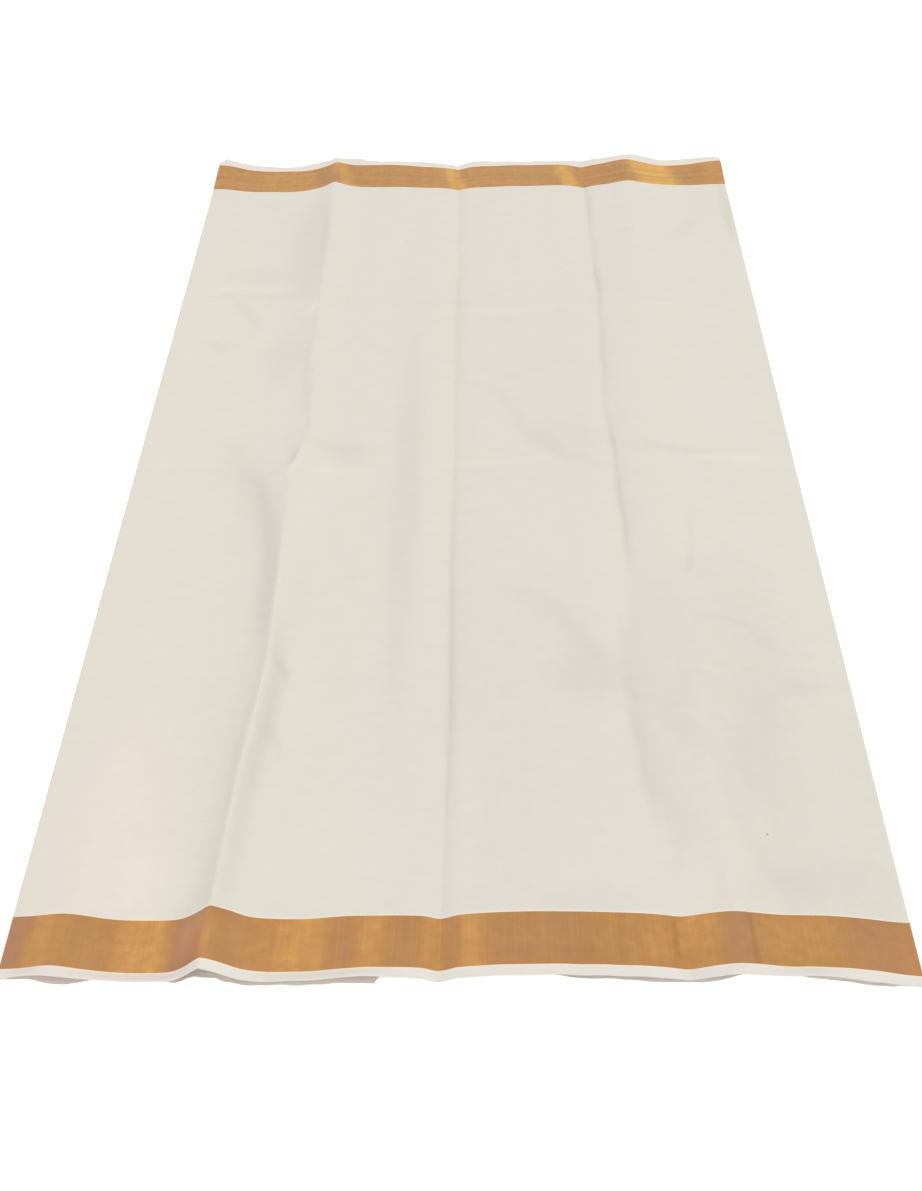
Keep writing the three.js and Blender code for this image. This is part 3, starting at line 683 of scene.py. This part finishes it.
FAR_GLEAMS = [
    Gleam(0, 0.600, 0.35),
    Gleam(-0.250, 0.042, 0.4), Gleam(-0.196, 0.013, -0.6), Gleam(-0.171, 0.010, 0.9),
    Gleam(-0.022, 0.011, 1.4), Gleam(0.040, 0.055, -0.1), Gleam(0.131, 0.014, 1.3),
    Gleam(0.194, 0.018, -0.4), Gleam(0.250, 0.029, 1.9), Gleam(0.300, 0.014, -0.2),
    Gleam(0.335, 0.010, 0.4),
]


def patches(rows, x, y):
    """The sum of soft oval patches over the cloth."""
    return sum(p.strength * np.exp(-(((x - p.x) / p.reach_x) ** 2 + ((y - p.y) / p.reach_y) ** 2) ** 2)
               for p in rows)


def gleam_over(x, y):
    """Painted highlights and shade on the borders: the far one's painted gleams run aslant over its middle.
    """
    slant, far_middle = 0.25, 0.035

    def along(rows, place):
        return sum(g.strength * np.exp(-(((place - g.x) / g.reach) ** 4)) for g in rows)

    far_place = x + slant * (y - FAR + far_middle)
    return np.where(y < 0, along(NEAR_GLEAMS, x), along(FAR_GLEAMS, far_place))


def painted_crease_shade(x, y):
    """Painted shade along the creases, and painted light where a crease's shade is negative."""
    total = 0
    for crease in CREASES:
        if crease.shade:
            deepest = max(abs(lift) for _, _, lift in crease.points)
            total = total + crease.shade * np.abs(crease_lift(crease, x, y)) / deepest
    return total


def colour_attributes(points, covered):
    """The cream's leanings, its painted shade and light, and the border's painted gleam at each grid point.

    What the top stretch covers gets painted shade from its near edge inwards, and painted warm bounce light
    near the edges.
    """
    x, y = points[..., 0], points[..., 1]
    edges = np.exp(-(((y - NEAR) / GLOW_REACH) ** 2)) + np.exp(-(((y - FAR) / GLOW_REACH) ** 2))
    # glow is painted warm bounce light; under is painted shade.
    glow = covered * edges * (LEAST_GLOW + (1 - LEAST_GLOW) * smooth((GLOW_END - x) / GLOW_FADE))
    deeper = smooth((y - NEAR - bump(NEAR_BOWS, x) + UNDER_LIP) / UNDER_NEAR_FADE)
    deeper = deeper * smooth((FAR + bump(FAR_BOWS, x) - y) / UNDER_FAR_FADE)
    under = covered * (UNDER_SHADE + bump(UNDER_SHADES, x)) * deeper
    return {
        "warm": patches(WARM_PATCHES, x, y) + glow,
        "cool": patches(COOL_PATCHES, x, y),
        "shade": patches(SHADE_PATCHES, x, y) + painted_crease_shade(x, y) + under,
        "gleam": gleam_over(x, y),
    }


# ---- Shading helpers ---------------------------------------------------------------------

LIGHT_LEVEL = 1.038  # how much brighter than its own colour a white level surface is lit


def node(tree, kind, inputs=None, **settings):
    """Adds a node. Inputs are values, or the outputs of other nodes, by name or number."""
    made = tree.nodes.new(kind)
    for key, value in settings.items():
        setattr(made, key, value)
    for key, value in (inputs or {}).items():
        if isinstance(value, bpy.types.NodeSocket):
            tree.links.new(value, made.inputs[key])
        else:
            made.inputs[key].default_value = value
    return made


def maths(tree, operation, *values):
    """One step of arithmetic on values or outputs."""
    return node(tree, "ShaderNodeMath", dict(enumerate(values)), operation=operation).outputs[0]


def new_group(name, inputs, outputs):
    """A shader node group with its input and output nodes."""
    group = bpy.data.node_groups.new(name, "ShaderNodeTree")
    for label, kind, value in inputs:
        socket = group.interface.new_socket(name=label, in_out="INPUT", socket_type=kind)
        if value is not None:
            socket.default_value = value
    for label, kind in outputs:
        group.interface.new_socket(name=label, in_out="OUTPUT", socket_type=kind)
    return group, group.nodes.new("NodeGroupInput"), group.nodes.new("NodeGroupOutput")


def stretched_noise(tree, place, along, across, detail=2.0, rough=0.5):
    """Noise over the cloth's own UV, with its grains along and across the length per metre."""
    grain = node(tree, "ShaderNodeVectorMath", {0: place, 1: (along, across, 1)}, operation="MULTIPLY")
    noise = node(tree, "ShaderNodeTexNoise",
                 {"Vector": grain.outputs[0], "Scale": 1.0, "Detail": detail, "Roughness": rough})
    return noise.outputs["Fac"]


def make_plain_weave():
    """Over-and-under threads: their height, and the gaps between them."""
    group, entry, exit_ = new_group(
        "plain weave",
        [("Place", "NodeSocketVector", None), ("Threads per metre", "NodeSocketFloat", None)],
        [("Height", "NodeSocketFloat"), ("Gap", "NodeSocketFloat")])
    split = node(group, "ShaderNodeSeparateXYZ", {0: entry.outputs["Place"]})
    count = maths(group, "MULTIPLY", entry.outputs["Threads per metre"], np.pi)
    along = maths(group, "SINE", maths(group, "MULTIPLY", split.outputs["X"], count))
    across = maths(group, "SINE", maths(group, "MULTIPLY", split.outputs["Y"], count))
    over = maths(group, "MULTIPLY_ADD", maths(group, "MULTIPLY", along, across), 0.5, 0.5)
    warp = maths(group, "MULTIPLY", maths(group, "ABSOLUTE", across), over)
    under = maths(group, "SUBTRACT", 1, over)
    weft = maths(group, "MULTIPLY", maths(group, "ABSOLUTE", along), under)
    height = maths(group, "MAXIMUM", warp, weft)
    gap = maths(group, "SUBTRACT", 1, maths(group, "MULTIPLY", height, 1.6))
    group.links.new(height, exit_.inputs["Height"])
    group.links.new(maths(group, "MAXIMUM", gap, 0), exit_.inputs["Gap"])
    return group


def make_slubs():
    """Uneven handspun threads, thicker and thinner along their length, both ways of the weave."""
    group, entry, exit_ = new_group(
        "slubs", [("Place", "NodeSocketVector", None)],
        [("Streak", "NodeSocketFloat"), ("Height", "NodeSocketFloat")])
    place = entry.outputs["Place"]
    long_way = stretched_noise(group, place, 28, 1300, 3.0, 0.6)
    cross_way = stretched_noise(group, place, 1100, 18, 3.0, 0.6)
    mottle = stretched_noise(group, place, 60, 90, 2.0, 0.5)
    threads = maths(group, "ADD", long_way, maths(group, "MULTIPLY", cross_way, 0.6))
    together = maths(group, "ADD", threads, maths(group, "MULTIPLY", mottle, 0.8))
    group.links.new(maths(group, "SUBTRACT", together, 1.2), exit_.inputs["Streak"])
    group.links.new(threads, exit_.inputs["Height"])
    return group


def make_edge_line():
    """A mask of the close-set cream threads on both sides of each border."""
    group, entry, exit_ = new_group(
        "edge line", [("Place", "NodeSocketVector", None), ("Width", "NodeSocketFloat", 0.0024)],
        [("Mask", "NodeSocketFloat")])
    across = node(group, "ShaderNodeSeparateXYZ", {0: entry.outputs["Place"]}).outputs["Y"]
    mask = 0
    for edge in (strip.low - NEAR for strip in STRIPS[1:]):
        away = maths(group, "ABSOLUTE", maths(group, "SUBTRACT", across, edge))
        share = maths(group, "DIVIDE", away, entry.outputs["Width"])
        mask = maths(group, "MAXIMUM", mask, maths(group, "SUBTRACT", 1, share))
    group.links.new(mask, exit_.inputs["Mask"])
    return group


PLAIN_WEAVE = make_plain_weave()
SLUBS = make_slubs()
EDGE_LINE = make_edge_line()


def use_group(tree, group, inputs):
    """The outputs of a node group with these inputs."""
    return node(tree, "ShaderNodeGroup", inputs, node_tree=group).outputs


def attribute(tree, name):
    """A number that the mesh holds at each point."""
    return node(tree, "ShaderNodeAttribute", attribute_name=name).outputs["Fac"]


def mixed(tree, amount, one, other, blend="MIX"):
    """One colour with the given amount of another."""
    made = node(tree, "ShaderNodeMix", data_type="RGBA", blend_type=blend)
    for key, value in (("Factor", amount), (6, one), (7, other)):
        socket = made.inputs[key]
        if isinstance(value, bpy.types.NodeSocket):
            tree.links.new(value, socket)
        else:
            socket.default_value = value
    return made.outputs[2]


def dyed(red, green, blue):
    """Surface colour that looks like an 8-bit screen colour in this light."""
    shares = np.array((red, green, blue)) / 255
    curve = np.where(shares <= 0.04045, shares / 12.92, ((shares + 0.055) / 1.055) ** 2.4)
    return (*(curve / LIGHT_LEVEL).tolist(), 1.0)


def scaled(tree, vector, factor):
    """A direction or a colour, times a factor."""
    return node(tree, "ShaderNodeVectorMath", {0: vector, "Scale": factor}, operation="SCALE").outputs[0]


def centred(tree, noise, spread):
    """Noise about 0 instead of about a half, with the given spread."""
    return maths(tree, "MULTIPLY_ADD", noise, spread, -spread / 2)


def relief(tree, height, strength, depth, over=None):
    """Normals of a fine relief, on top of a coarser one's."""
    inputs = {"Height": height, "Strength": strength, "Distance": depth}
    if over is not None:
        inputs["Normal"] = over
    return node(tree, "ShaderNodeBump", inputs).outputs[0]


def new_material(name, roughness, specular=0.5):
    """A material, its nodes and its Principled shader."""
    material = bpy.data.materials.new(name)
    material.use_nodes = True
    tree = material.node_tree
    shader = tree.nodes["Principled BSDF"]
    shader.inputs["Roughness"].default_value = roughness
    shader.inputs["Specular IOR Level"].default_value = specular
    return material, tree, shader


def place_on_cloth(tree):
    """The place along and across the cloth, as if it lay unfolded."""
    return node(tree, "ShaderNodeUVMap", uv_map="cloth").outputs[0]


# ---- Materials ---------------------------------------------------------------------------

CREAM, SELVAGE_CREAM = dyed(226, 222, 211), dyed(231, 227, 219)
WARM_CREAM, COOL_CREAM = dyed(240, 227, 219), dyed(224, 219, 214)
EDGE_THREAD, CREAM_GAP, HUSK = dyed(244, 228, 206), dyed(190, 182, 168), dyed(128, 118, 104)
PALE_GOLD, GOLD_GAP = dyed(206, 178, 134), dyed(150, 100, 62)
YARN_DARK, YARN_LIGHT = dyed(214, 207, 194), dyed(240, 236, 226)
# The gold's tones from painted rosy shade to a painted gleam, and how far along each comes.
GOLD_TONES = [
    (0.05, dyed(187, 139, 107)), (0.26, dyed(189, 139, 94)), (0.50, dyed(196, 144, 88)),
    (0.75, dyed(210, 156, 92)), (1.0, dyed(232, 181, 94)),
]
COTTON_THREADS, GOLD_THREADS = 2900, 2600  # per metre


def speck_mask(tree):
    """One small dark speck of husk, caught in the top stretch near its right side."""
    place = node(tree, "ShaderNodeTexCoord").outputs["Object"]
    flat = node(tree, "ShaderNodeVectorMath", {0: place, 1: (1, 1, SPECK_FLATNESS)}, operation="MULTIPLY")
    away = node(tree, "ShaderNodeVectorMath", {0: flat.outputs[0], 1: SPECK}, operation="DISTANCE")
    outer, inner = 0.0013, 0.0005
    soft = node(tree, "ShaderNodeMapRange", {0: away.outputs["Value"], 1: outer, 2: inner},
                interpolation_type="SMOOTHSTEP")
    return soft.outputs[0]


def cotton_material(name, colour, light_line):
    """Plain-woven cream cotton, with slubs, tones that drift a little over the cloth, and painted shade and
    painted light.
    """
    material, tree, shader = new_material(name, roughness=0.88, specular=0.2)
    place = place_on_cloth(tree)
    shader.inputs["Sheen Weight"].default_value = 0.12
    shader.inputs["Sheen Roughness"].default_value = 0.45
    weave = use_group(tree, PLAIN_WEAVE, {"Place": place, "Threads per metre": COTTON_THREADS})
    slubs = use_group(tree, SLUBS, {"Place": place})
    # Warmer patches, and painted warm bounce light near the covered layers' edges.
    tone = mixed(tree, attribute(tree, "warm"), colour, WARM_CREAM)
    tone = mixed(tree, attribute(tree, "cool"), tone, COOL_CREAM)
    # Painted shade from the shade attribute, and painted light where it is negative.
    tone = scaled(tree, tone, maths(tree, "MULTIPLY_ADD", attribute(tree, "shade"), -0.13, 1.0))
    dark = mixed(tree, 1.0, tone, (0.93, 0.925, 0.92, 1), "MULTIPLY")
    lit = mixed(tree, 1.0, tone, (1.04, 1.04, 1.04, 1), "MULTIPLY")
    streak = maths(tree, "MULTIPLY_ADD", slubs["Streak"], 0.6, 0.5)
    tone = mixed(tree, streak, dark, lit)
    line = use_group(tree, EDGE_LINE, {"Place": place})["Mask"]
    tone = mixed(tree, maths(tree, "MULTIPLY", line, light_line), tone, EDGE_THREAD)
    tone = mixed(tree, maths(tree, "MULTIPLY", weave["Gap"], 0.5), tone, CREAM_GAP)
    tone = mixed(tree, maths(tree, "MULTIPLY", speck_mask(tree), 0.6), tone, HUSK)
    tree.links.new(tone, shader.inputs["Base Color"])
    uneven = relief(tree, slubs["Height"], 0.35, 0.00025)
    tree.links.new(relief(tree, weave["Height"], 0.5, 0.00012, uneven), shader.inputs["Normal"])
    return material


def gold_material():
    """Satin metallic thread woven lengthwise, which gleams where the cloth tilts to the light, with painted
    gleams and painted shade in its colour.
    """
    material, tree, shader = new_material("gold_border", roughness=0.42)
    place = place_on_cloth(tree)
    shader.inputs["Metallic"].default_value = 0.75
    shader.inputs["Anisotropic"].default_value = 0.5
    weave = use_group(tree, PLAIN_WEAVE, {"Place": place, "Threads per metre": GOLD_THREADS})
    lines = stretched_noise(tree, place, 14, 1500, 3.0, 0.6)
    streaks = stretched_noise(tree, place, 130, 5, 3.0, 0.6)
    fine = stretched_noise(tree, place, 620, 16, 2.0, 0.6)
    bands = stretched_noise(tree, place, 5, 170, 2.0, 0.5)
    across = node(tree, "ShaderNodeSeparateXYZ", {0: place}).outputs["Y"]
    blotches = stretched_noise(tree, place, 95, 130, 2.0, 0.5)
    # Painted gleam and painted shade along the border, varied by streaks, lines and blotches.
    level = attribute(tree, "gleam")
    for noise, spread in ((streaks, 1.3), (lines, 1.0), (blotches, 1.2)):
        level = maths(tree, "ADD", level, centred(tree, noise, spread))
    ramp = node(tree, "ShaderNodeValToRGB", {0: maths(tree, "MULTIPLY_ADD", level, 0.25, 0.5)})
    stops = ramp.color_ramp.elements
    stops.remove(stops[1])
    stops[0].position, stops[0].color = GOLD_TONES[0]
    for position, tone in GOLD_TONES[1:]:
        stops.new(position).color = tone
    far_half = node(tree, "ShaderNodeMapRange", {0: across, 1: 0.5, 2: 0.9}).outputs[0]
    # Painted shade darkens the gold, and painted light lightens it where the shade is negative.
    left = maths(tree, "MULTIPLY_ADD", attribute(tree, "shade"), -0.2, 1.0)
    left = maths(tree, "ADD", left, centred(tree, fine, 0.20))
    left = maths(tree, "ADD", left, centred(tree, blotches, 0.16))
    left = maths(tree, "ADD", left, maths(tree, "MULTIPLY", far_half, centred(tree, bands, 0.5)))
    tone = scaled(tree, ramp.outputs[0], left)
    tone = mixed(tree, maths(tree, "MULTIPLY", far_half, 0.08), tone, PALE_GOLD)
    tone = mixed(tree, maths(tree, "MULTIPLY", weave["Gap"], 0.35), tone, GOLD_GAP)
    tree.links.new(tone, shader.inputs["Base Color"])
    rough = maths(tree, "MULTIPLY_ADD", lines, 0.2, 0.34)
    tree.links.new(rough, shader.inputs["Roughness"])
    ribs = relief(tree, lines, 0.3, 0.0003)
    tree.links.new(relief(tree, weave["Height"], 0.45, 0.00012, ribs), shader.inputs["Normal"])
    return material


def thread_material():
    """Loose cotton yarn, a little darker in places than the cloth that it comes from."""
    material, tree, shader = new_material("thread", roughness=0.85)
    shader.inputs["Sheen Weight"].default_value = 0.15
    place = node(tree, "ShaderNodeTexCoord").outputs["Object"]
    noise = node(tree, "ShaderNodeTexNoise", {"Vector": place, "Scale": 320.0, "Detail": 2.0})
    tone = mixed(tree, noise.outputs["Fac"], YARN_DARK, YARN_LIGHT)
    tree.links.new(tone, shader.inputs["Base Color"])
    fibres = node(tree, "ShaderNodeTexNoise", {"Vector": place, "Scale": 9000.0, "Detail": 1.0})
    tree.links.new(relief(tree, fibres.outputs["Fac"], 0.3, 0.0001), shader.inputs["Normal"])
    return material


MATERIALS = {
    "cotton": cotton_material("cotton", CREAM, light_line=0.8),
    "gold_border": gold_material(),
    "selvage": cotton_material("selvage", SELVAGE_CREAM, light_line=0.9),
    "thread": thread_material(),
}

# ---- Loose threads -----------------------------------------------------------------------


def make_loose_threads():
    """Short yarns that stand out along an edge, each a bent tube, unevenly long and turned."""
    tree = bpy.data.node_groups.new("loose threads", "GeometryNodeTree")
    inputs = [("Edge", "NodeSocketGeometry"), ("Spacing", "NodeSocketFloat"),
              ("Outward", "NodeSocketVector"), ("Thickness", "NodeSocketFloat"),
              ("Lean", "NodeSocketFloat"), ("Seed", "NodeSocketInt"), ("Finish", "NodeSocketMaterial")]
    for label, kind in inputs:
        tree.interface.new_socket(name=label, in_out="INPUT", socket_type=kind)
    tree.interface.new_socket(name="Threads", in_out="OUTPUT", socket_type="NodeSocketGeometry")
    entry, exit_ = tree.nodes.new("NodeGroupInput").outputs, tree.nodes.new("NodeGroupOutput")
    line = node(tree, "GeometryNodeMeshToCurve", {"Mesh": entry["Edge"]})
    spots = node(tree, "GeometryNodeResampleCurve", {"Curve": line.outputs[0], "Length": entry["Spacing"]},
                 mode="LENGTH")
    half_way = scaled(tree, entry["Outward"], 0.55)
    arched = node(tree, "ShaderNodeVectorMath", {0: half_way, 1: (0, 0, 0.0005)}, operation="ADD")
    yarn = node(tree, "GeometryNodeCurveQuadraticBezier",
                {"Resolution": 4, "Start": (0, 0, 0), "Middle": arched.outputs[0], "End": entry["Outward"]})
    ring = node(tree, "GeometryNodeCurvePrimitiveCircle",
                {"Resolution": 3, "Radius": maths(tree, "MULTIPLY", entry["Thickness"], 0.5)})
    tube = node(tree, "GeometryNodeCurveToMesh",
                {"Curve": yarn.outputs[0], "Profile Curve": ring.outputs[0], "Fill Caps": True})
    lean = node(tree, "FunctionNodeRandomValue",
                {2: maths(tree, "MULTIPLY", entry["Lean"], -1), 3: entry["Lean"], "Seed": entry["Seed"]})
    turned = node(tree, "ShaderNodeCombineXYZ", {"Z": lean.outputs[1]})
    length = node(tree, "FunctionNodeRandomValue",
                  {2: 0.45, 3: 1.25, "Seed": maths(tree, "ADD", entry["Seed"], 7)})
    copies = node(tree, "GeometryNodeInstanceOnPoints",
                  {"Points": spots.outputs[0], "Instance": tube.outputs[0],
                   "Rotation": turned.outputs[0], "Scale": length.outputs[1]})
    real = node(tree, "GeometryNodeRealizeInstances", {0: copies.outputs[0]})
    round_ = node(tree, "GeometryNodeSetShadeSmooth", {0: real.outputs[0]})
    finish = node(tree, "GeometryNodeSetMaterial", {0: round_.outputs[0], "Material": entry["Finish"]})
    tree.links.new(finish.outputs[0], exit_.inputs[0])
    return tree


LOOSE_THREADS = make_loose_threads()


def add_threads(name, edge, slot, **settings):
    """Loose threads along a line of points, as one plain mesh."""
    mesh = bpy.data.meshes.new(name + "_line")
    mesh.from_pydata(edge.tolist(), [(i, i + 1) for i in range(len(edge) - 1)], [])
    line = add_object(name + "_line", mesh)
    modifier = line.modifiers.new("threads", "NODES")
    modifier.node_group = LOOSE_THREADS
    settings["Finish"] = MATERIALS["thread"]
    for item in LOOSE_THREADS.interface.items_tree:
        if item.in_out == "INPUT" and item.name in settings:
            modifier[item.identifier] = settings[item.name]
    graph = bpy.context.evaluated_depsgraph_get()
    made = bpy.data.meshes.new_from_object(line.evaluated_get(graph), depsgraph=graph)
    line.modifiers.clear()
    bpy.data.objects.remove(line)
    made.name = name
    piece = add_object(name, made)
    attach(piece, "root")
    return piece


# ---- The pieces --------------------------------------------------------------------------


def add_strips(label, columns, rows, ends, cut=None, nodes="", thickness=CLOTH, frayed=False):
    """Makes the five strips of one length of folded cloth, over the columns that cut gives."""
    points = grid_of(columns, rows)
    normals = grid_normals(points)
    middle = points[len(rows) // 2]
    steps = np.linalg.norm(np.diff(middle, axis=0), axis=1)
    lengths = np.concatenate(((0,), np.cumsum(steps)))
    first, last = cut or (0, points.shape[1] - 1)
    pieces = {}
    for strip in STRIPS:
        low, high = ends[strip.name]
        window = np.s_[low:high + 1, first:last + 1]
        piece = shell(label + "_" + strip.name, points[window], normals[window], thickness,
                      lengths[first:last + 1], rows[low:high + 1] - NEAR,
                      colour_attributes(points[window], covered=float(nodes != "top")))
        piece.data.materials.append(MATERIALS[strip.finish])
        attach(piece, "root")
        if nodes:
            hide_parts(nodes + "_" + strip.name)
        pieces[strip.name] = piece
    trims = [piece for name, piece in pieces.items() if name != "field"]
    if nodes:
        for row, out, word, seed in ((0, -1, "near", 3), (-1, 1, "far", 5)):
            trims.append(add_threads(
                label + "_" + word + "_fuzz", points[row, first:last + 1], "selvage", Spacing=0.0013,
                Outward=(0, out * 0.0008, 0), Thickness=0.00016, Lean=1.1, Seed=seed))
    if frayed:
        trims.append(add_threads(
            label + "_fringe", points[:, first], "cotton", Spacing=0.0011,
            Outward=(0.0042, 0, 0), Thickness=0.00022, Lean=0.35, Seed=11))
    return pieces


def add_outer_wrap():
    """The inner end, the left fold, the top stretch and the upper right fold."""
    v, ends = weave_rows(1)
    left, right = left_centre(v), right_centre(TOP, v)
    end_run = run(INNER_END, v, end_edge(v), left, 60)
    round_steps = 20
    columns = end_run + turn(-1, INNER_END, TOP, v, round_steps)
    half_way = len(columns) - round_steps // 2
    columns += top_run(v, (36, 42, 34, 16, 30))
    columns += turn(1, TOP, UPPER_BACK, v, 12)
    columns += run(UPPER_BACK, v, right, right - TUCK, 4)
    add_strips("inner_end", columns, v, ends, (0, half_way), "end", frayed=True)
    add_strips("top_stretch", columns, v, ends, (half_way, len(columns) - 1), "top")


def add_second_stretch():
    """The lower right fold and the layer that runs from it to the inner end."""
    v, ends = weave_rows(1.6)
    right = right_centre(LOWER_OUT, v)
    columns = run(LOWER_OUT, v, right - TUCK, right, 4)
    columns += turn(1, LOWER_OUT, SECOND, v, 12)
    columns += run(SECOND, v, right, end_edge(v) + END_GAP, 80)
    add_strips("second_stretch", columns, v, ends, None, "second")


def add_inside_layers():
    """The folded cloth between the shown stretches, in two lengths."""
    v, ends = weave_rows(4)
    left = left_centre(v) + INSIDE_TURN
    upper, lower = right_centre(TOP, v), right_centre(LOWER_OUT, v)
    middle = run(UPPER_BACK, v, upper - TUCK, left, 100)
    middle += turn(-1, UPPER_BACK, LOWER_OUT, v, 8)
    middle += run(LOWER_OUT, v, left, lower - TUCK, 100)
    wound = run(SECOND, v, end_edge(v) + END_GAP, left, 30)
    wound += turn(-1, SECOND, 1, v, 12)
    for level, start, stop, side, reaches in (
            (1, left, upper, 1, 2), (2, upper, left, -1, 5), (5, left, lower, 1, 6)):
        wound += run(level, v, start, stop, 100)
        wound += turn(side, level, reaches, v, 8)
    wound += run(6, v, lower, left + INSIDE_SHORT, 100)
    first = add_strips("inside_middle", middle, v, ends, thickness=INSIDE_CLOTH)
    second = add_strips("inside_wound", wound, v, ends, thickness=INSIDE_CLOTH)
    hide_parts("hidden_folds")
    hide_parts("hidden_folds")


add_outer_wrap()
add_second_stretch()
add_inside_layers()

# ---- Floor, light and camera -------------------------------------------------------------


def add_floor():
    """A wide white floor, a hair below the cloth so that the two don't meet."""
    mesh = bpy.data.meshes.new("floor")
    half = 12
    mesh.from_pydata([(-half, -half, 0), (half, -half, 0), (half, half, 0), (-half, half, 0)],
                     [], [(0, 1, 2, 3)])
    floor = add_object("floor", mesh)
    floor.location.z = -0.0001
    material, _, shader = new_material("floor", roughness=0.9, specular=0.1)
    shader.inputs["Base Color"].default_value = (0.93, 0.93, 0.93, 1)
    shader.inputs["Emission Color"].default_value = (1, 1, 1, 1)
    shader.inputs["Emission Strength"].default_value = 0.35
    mesh.materials.append(material)


def set_up(thing, place, side, above, back):
    """Stands a light or the camera in its place, turned to look away from back."""
    turned = np.column_stack((side, above, back))
    thing.matrix_world = Matrix.Translation(place) @ Matrix(turned.tolist()).to_4x4()


def add_soft_box(name, place, aim, size, power):
    """A wide square light that faces its aim. Its size is one side, in metres."""
    light = bpy.data.lights.new(name, "AREA")
    light.shape = "RECTANGLE"
    light.size = light.size_y = size
    light.energy = power
    direction = np.array(aim, float) - np.array(place, float)
    back = -direction / np.linalg.norm(direction)
    side = np.cross((0, 0, 1), back)
    side /= np.linalg.norm(side)
    set_up(add_object(name, light), place, side, np.cross(back, side), back)


def add_light():
    """Even white light from all round, and one soft window high up on the near right."""
    world = bpy.data.worlds.new("studio")
    world.use_nodes = True
    background = world.node_tree.nodes["Background"]
    background.inputs["Color"].default_value = (1, 1, 1, 1)
    background.inputs["Strength"].default_value = 1.0
    bpy.context.scene.world = world
    add_soft_box("window", (4.8, -5.2, 6.8), aim=(0, 0, 0), size=4.8, power=180)


def add_camera(place, pitch, yaw, roll, focal):
    """Looks down from the near end: pitch below level, turn about Z and tilt, in degrees."""
    pitch, yaw, roll = np.radians((pitch, yaw, roll))
    ahead = np.array((np.sin(yaw) * np.cos(pitch), np.cos(yaw) * np.cos(pitch), -np.sin(pitch)))
    level = np.array((np.cos(yaw), -np.sin(yaw), 0))
    above = np.cross(level, ahead)
    side = np.cos(roll) * level + np.sin(roll) * above
    top = np.cos(roll) * above - np.sin(roll) * level
    data = bpy.data.cameras.new("camera")
    data.sensor_width = 36
    data.lens = focal
    data.clip_start = 0.01
    camera = add_object("camera", data)
    set_up(camera, place, side, top, -ahead)
    bpy.context.scene.camera = camera


add_floor()
add_light()
add_camera((0.0202, -0.9460, 0.8710), pitch=49.35, yaw=-1.70, roll=-1.26, focal=36.06)
bpy.context.scene.view_settings.view_transform = "Standard"
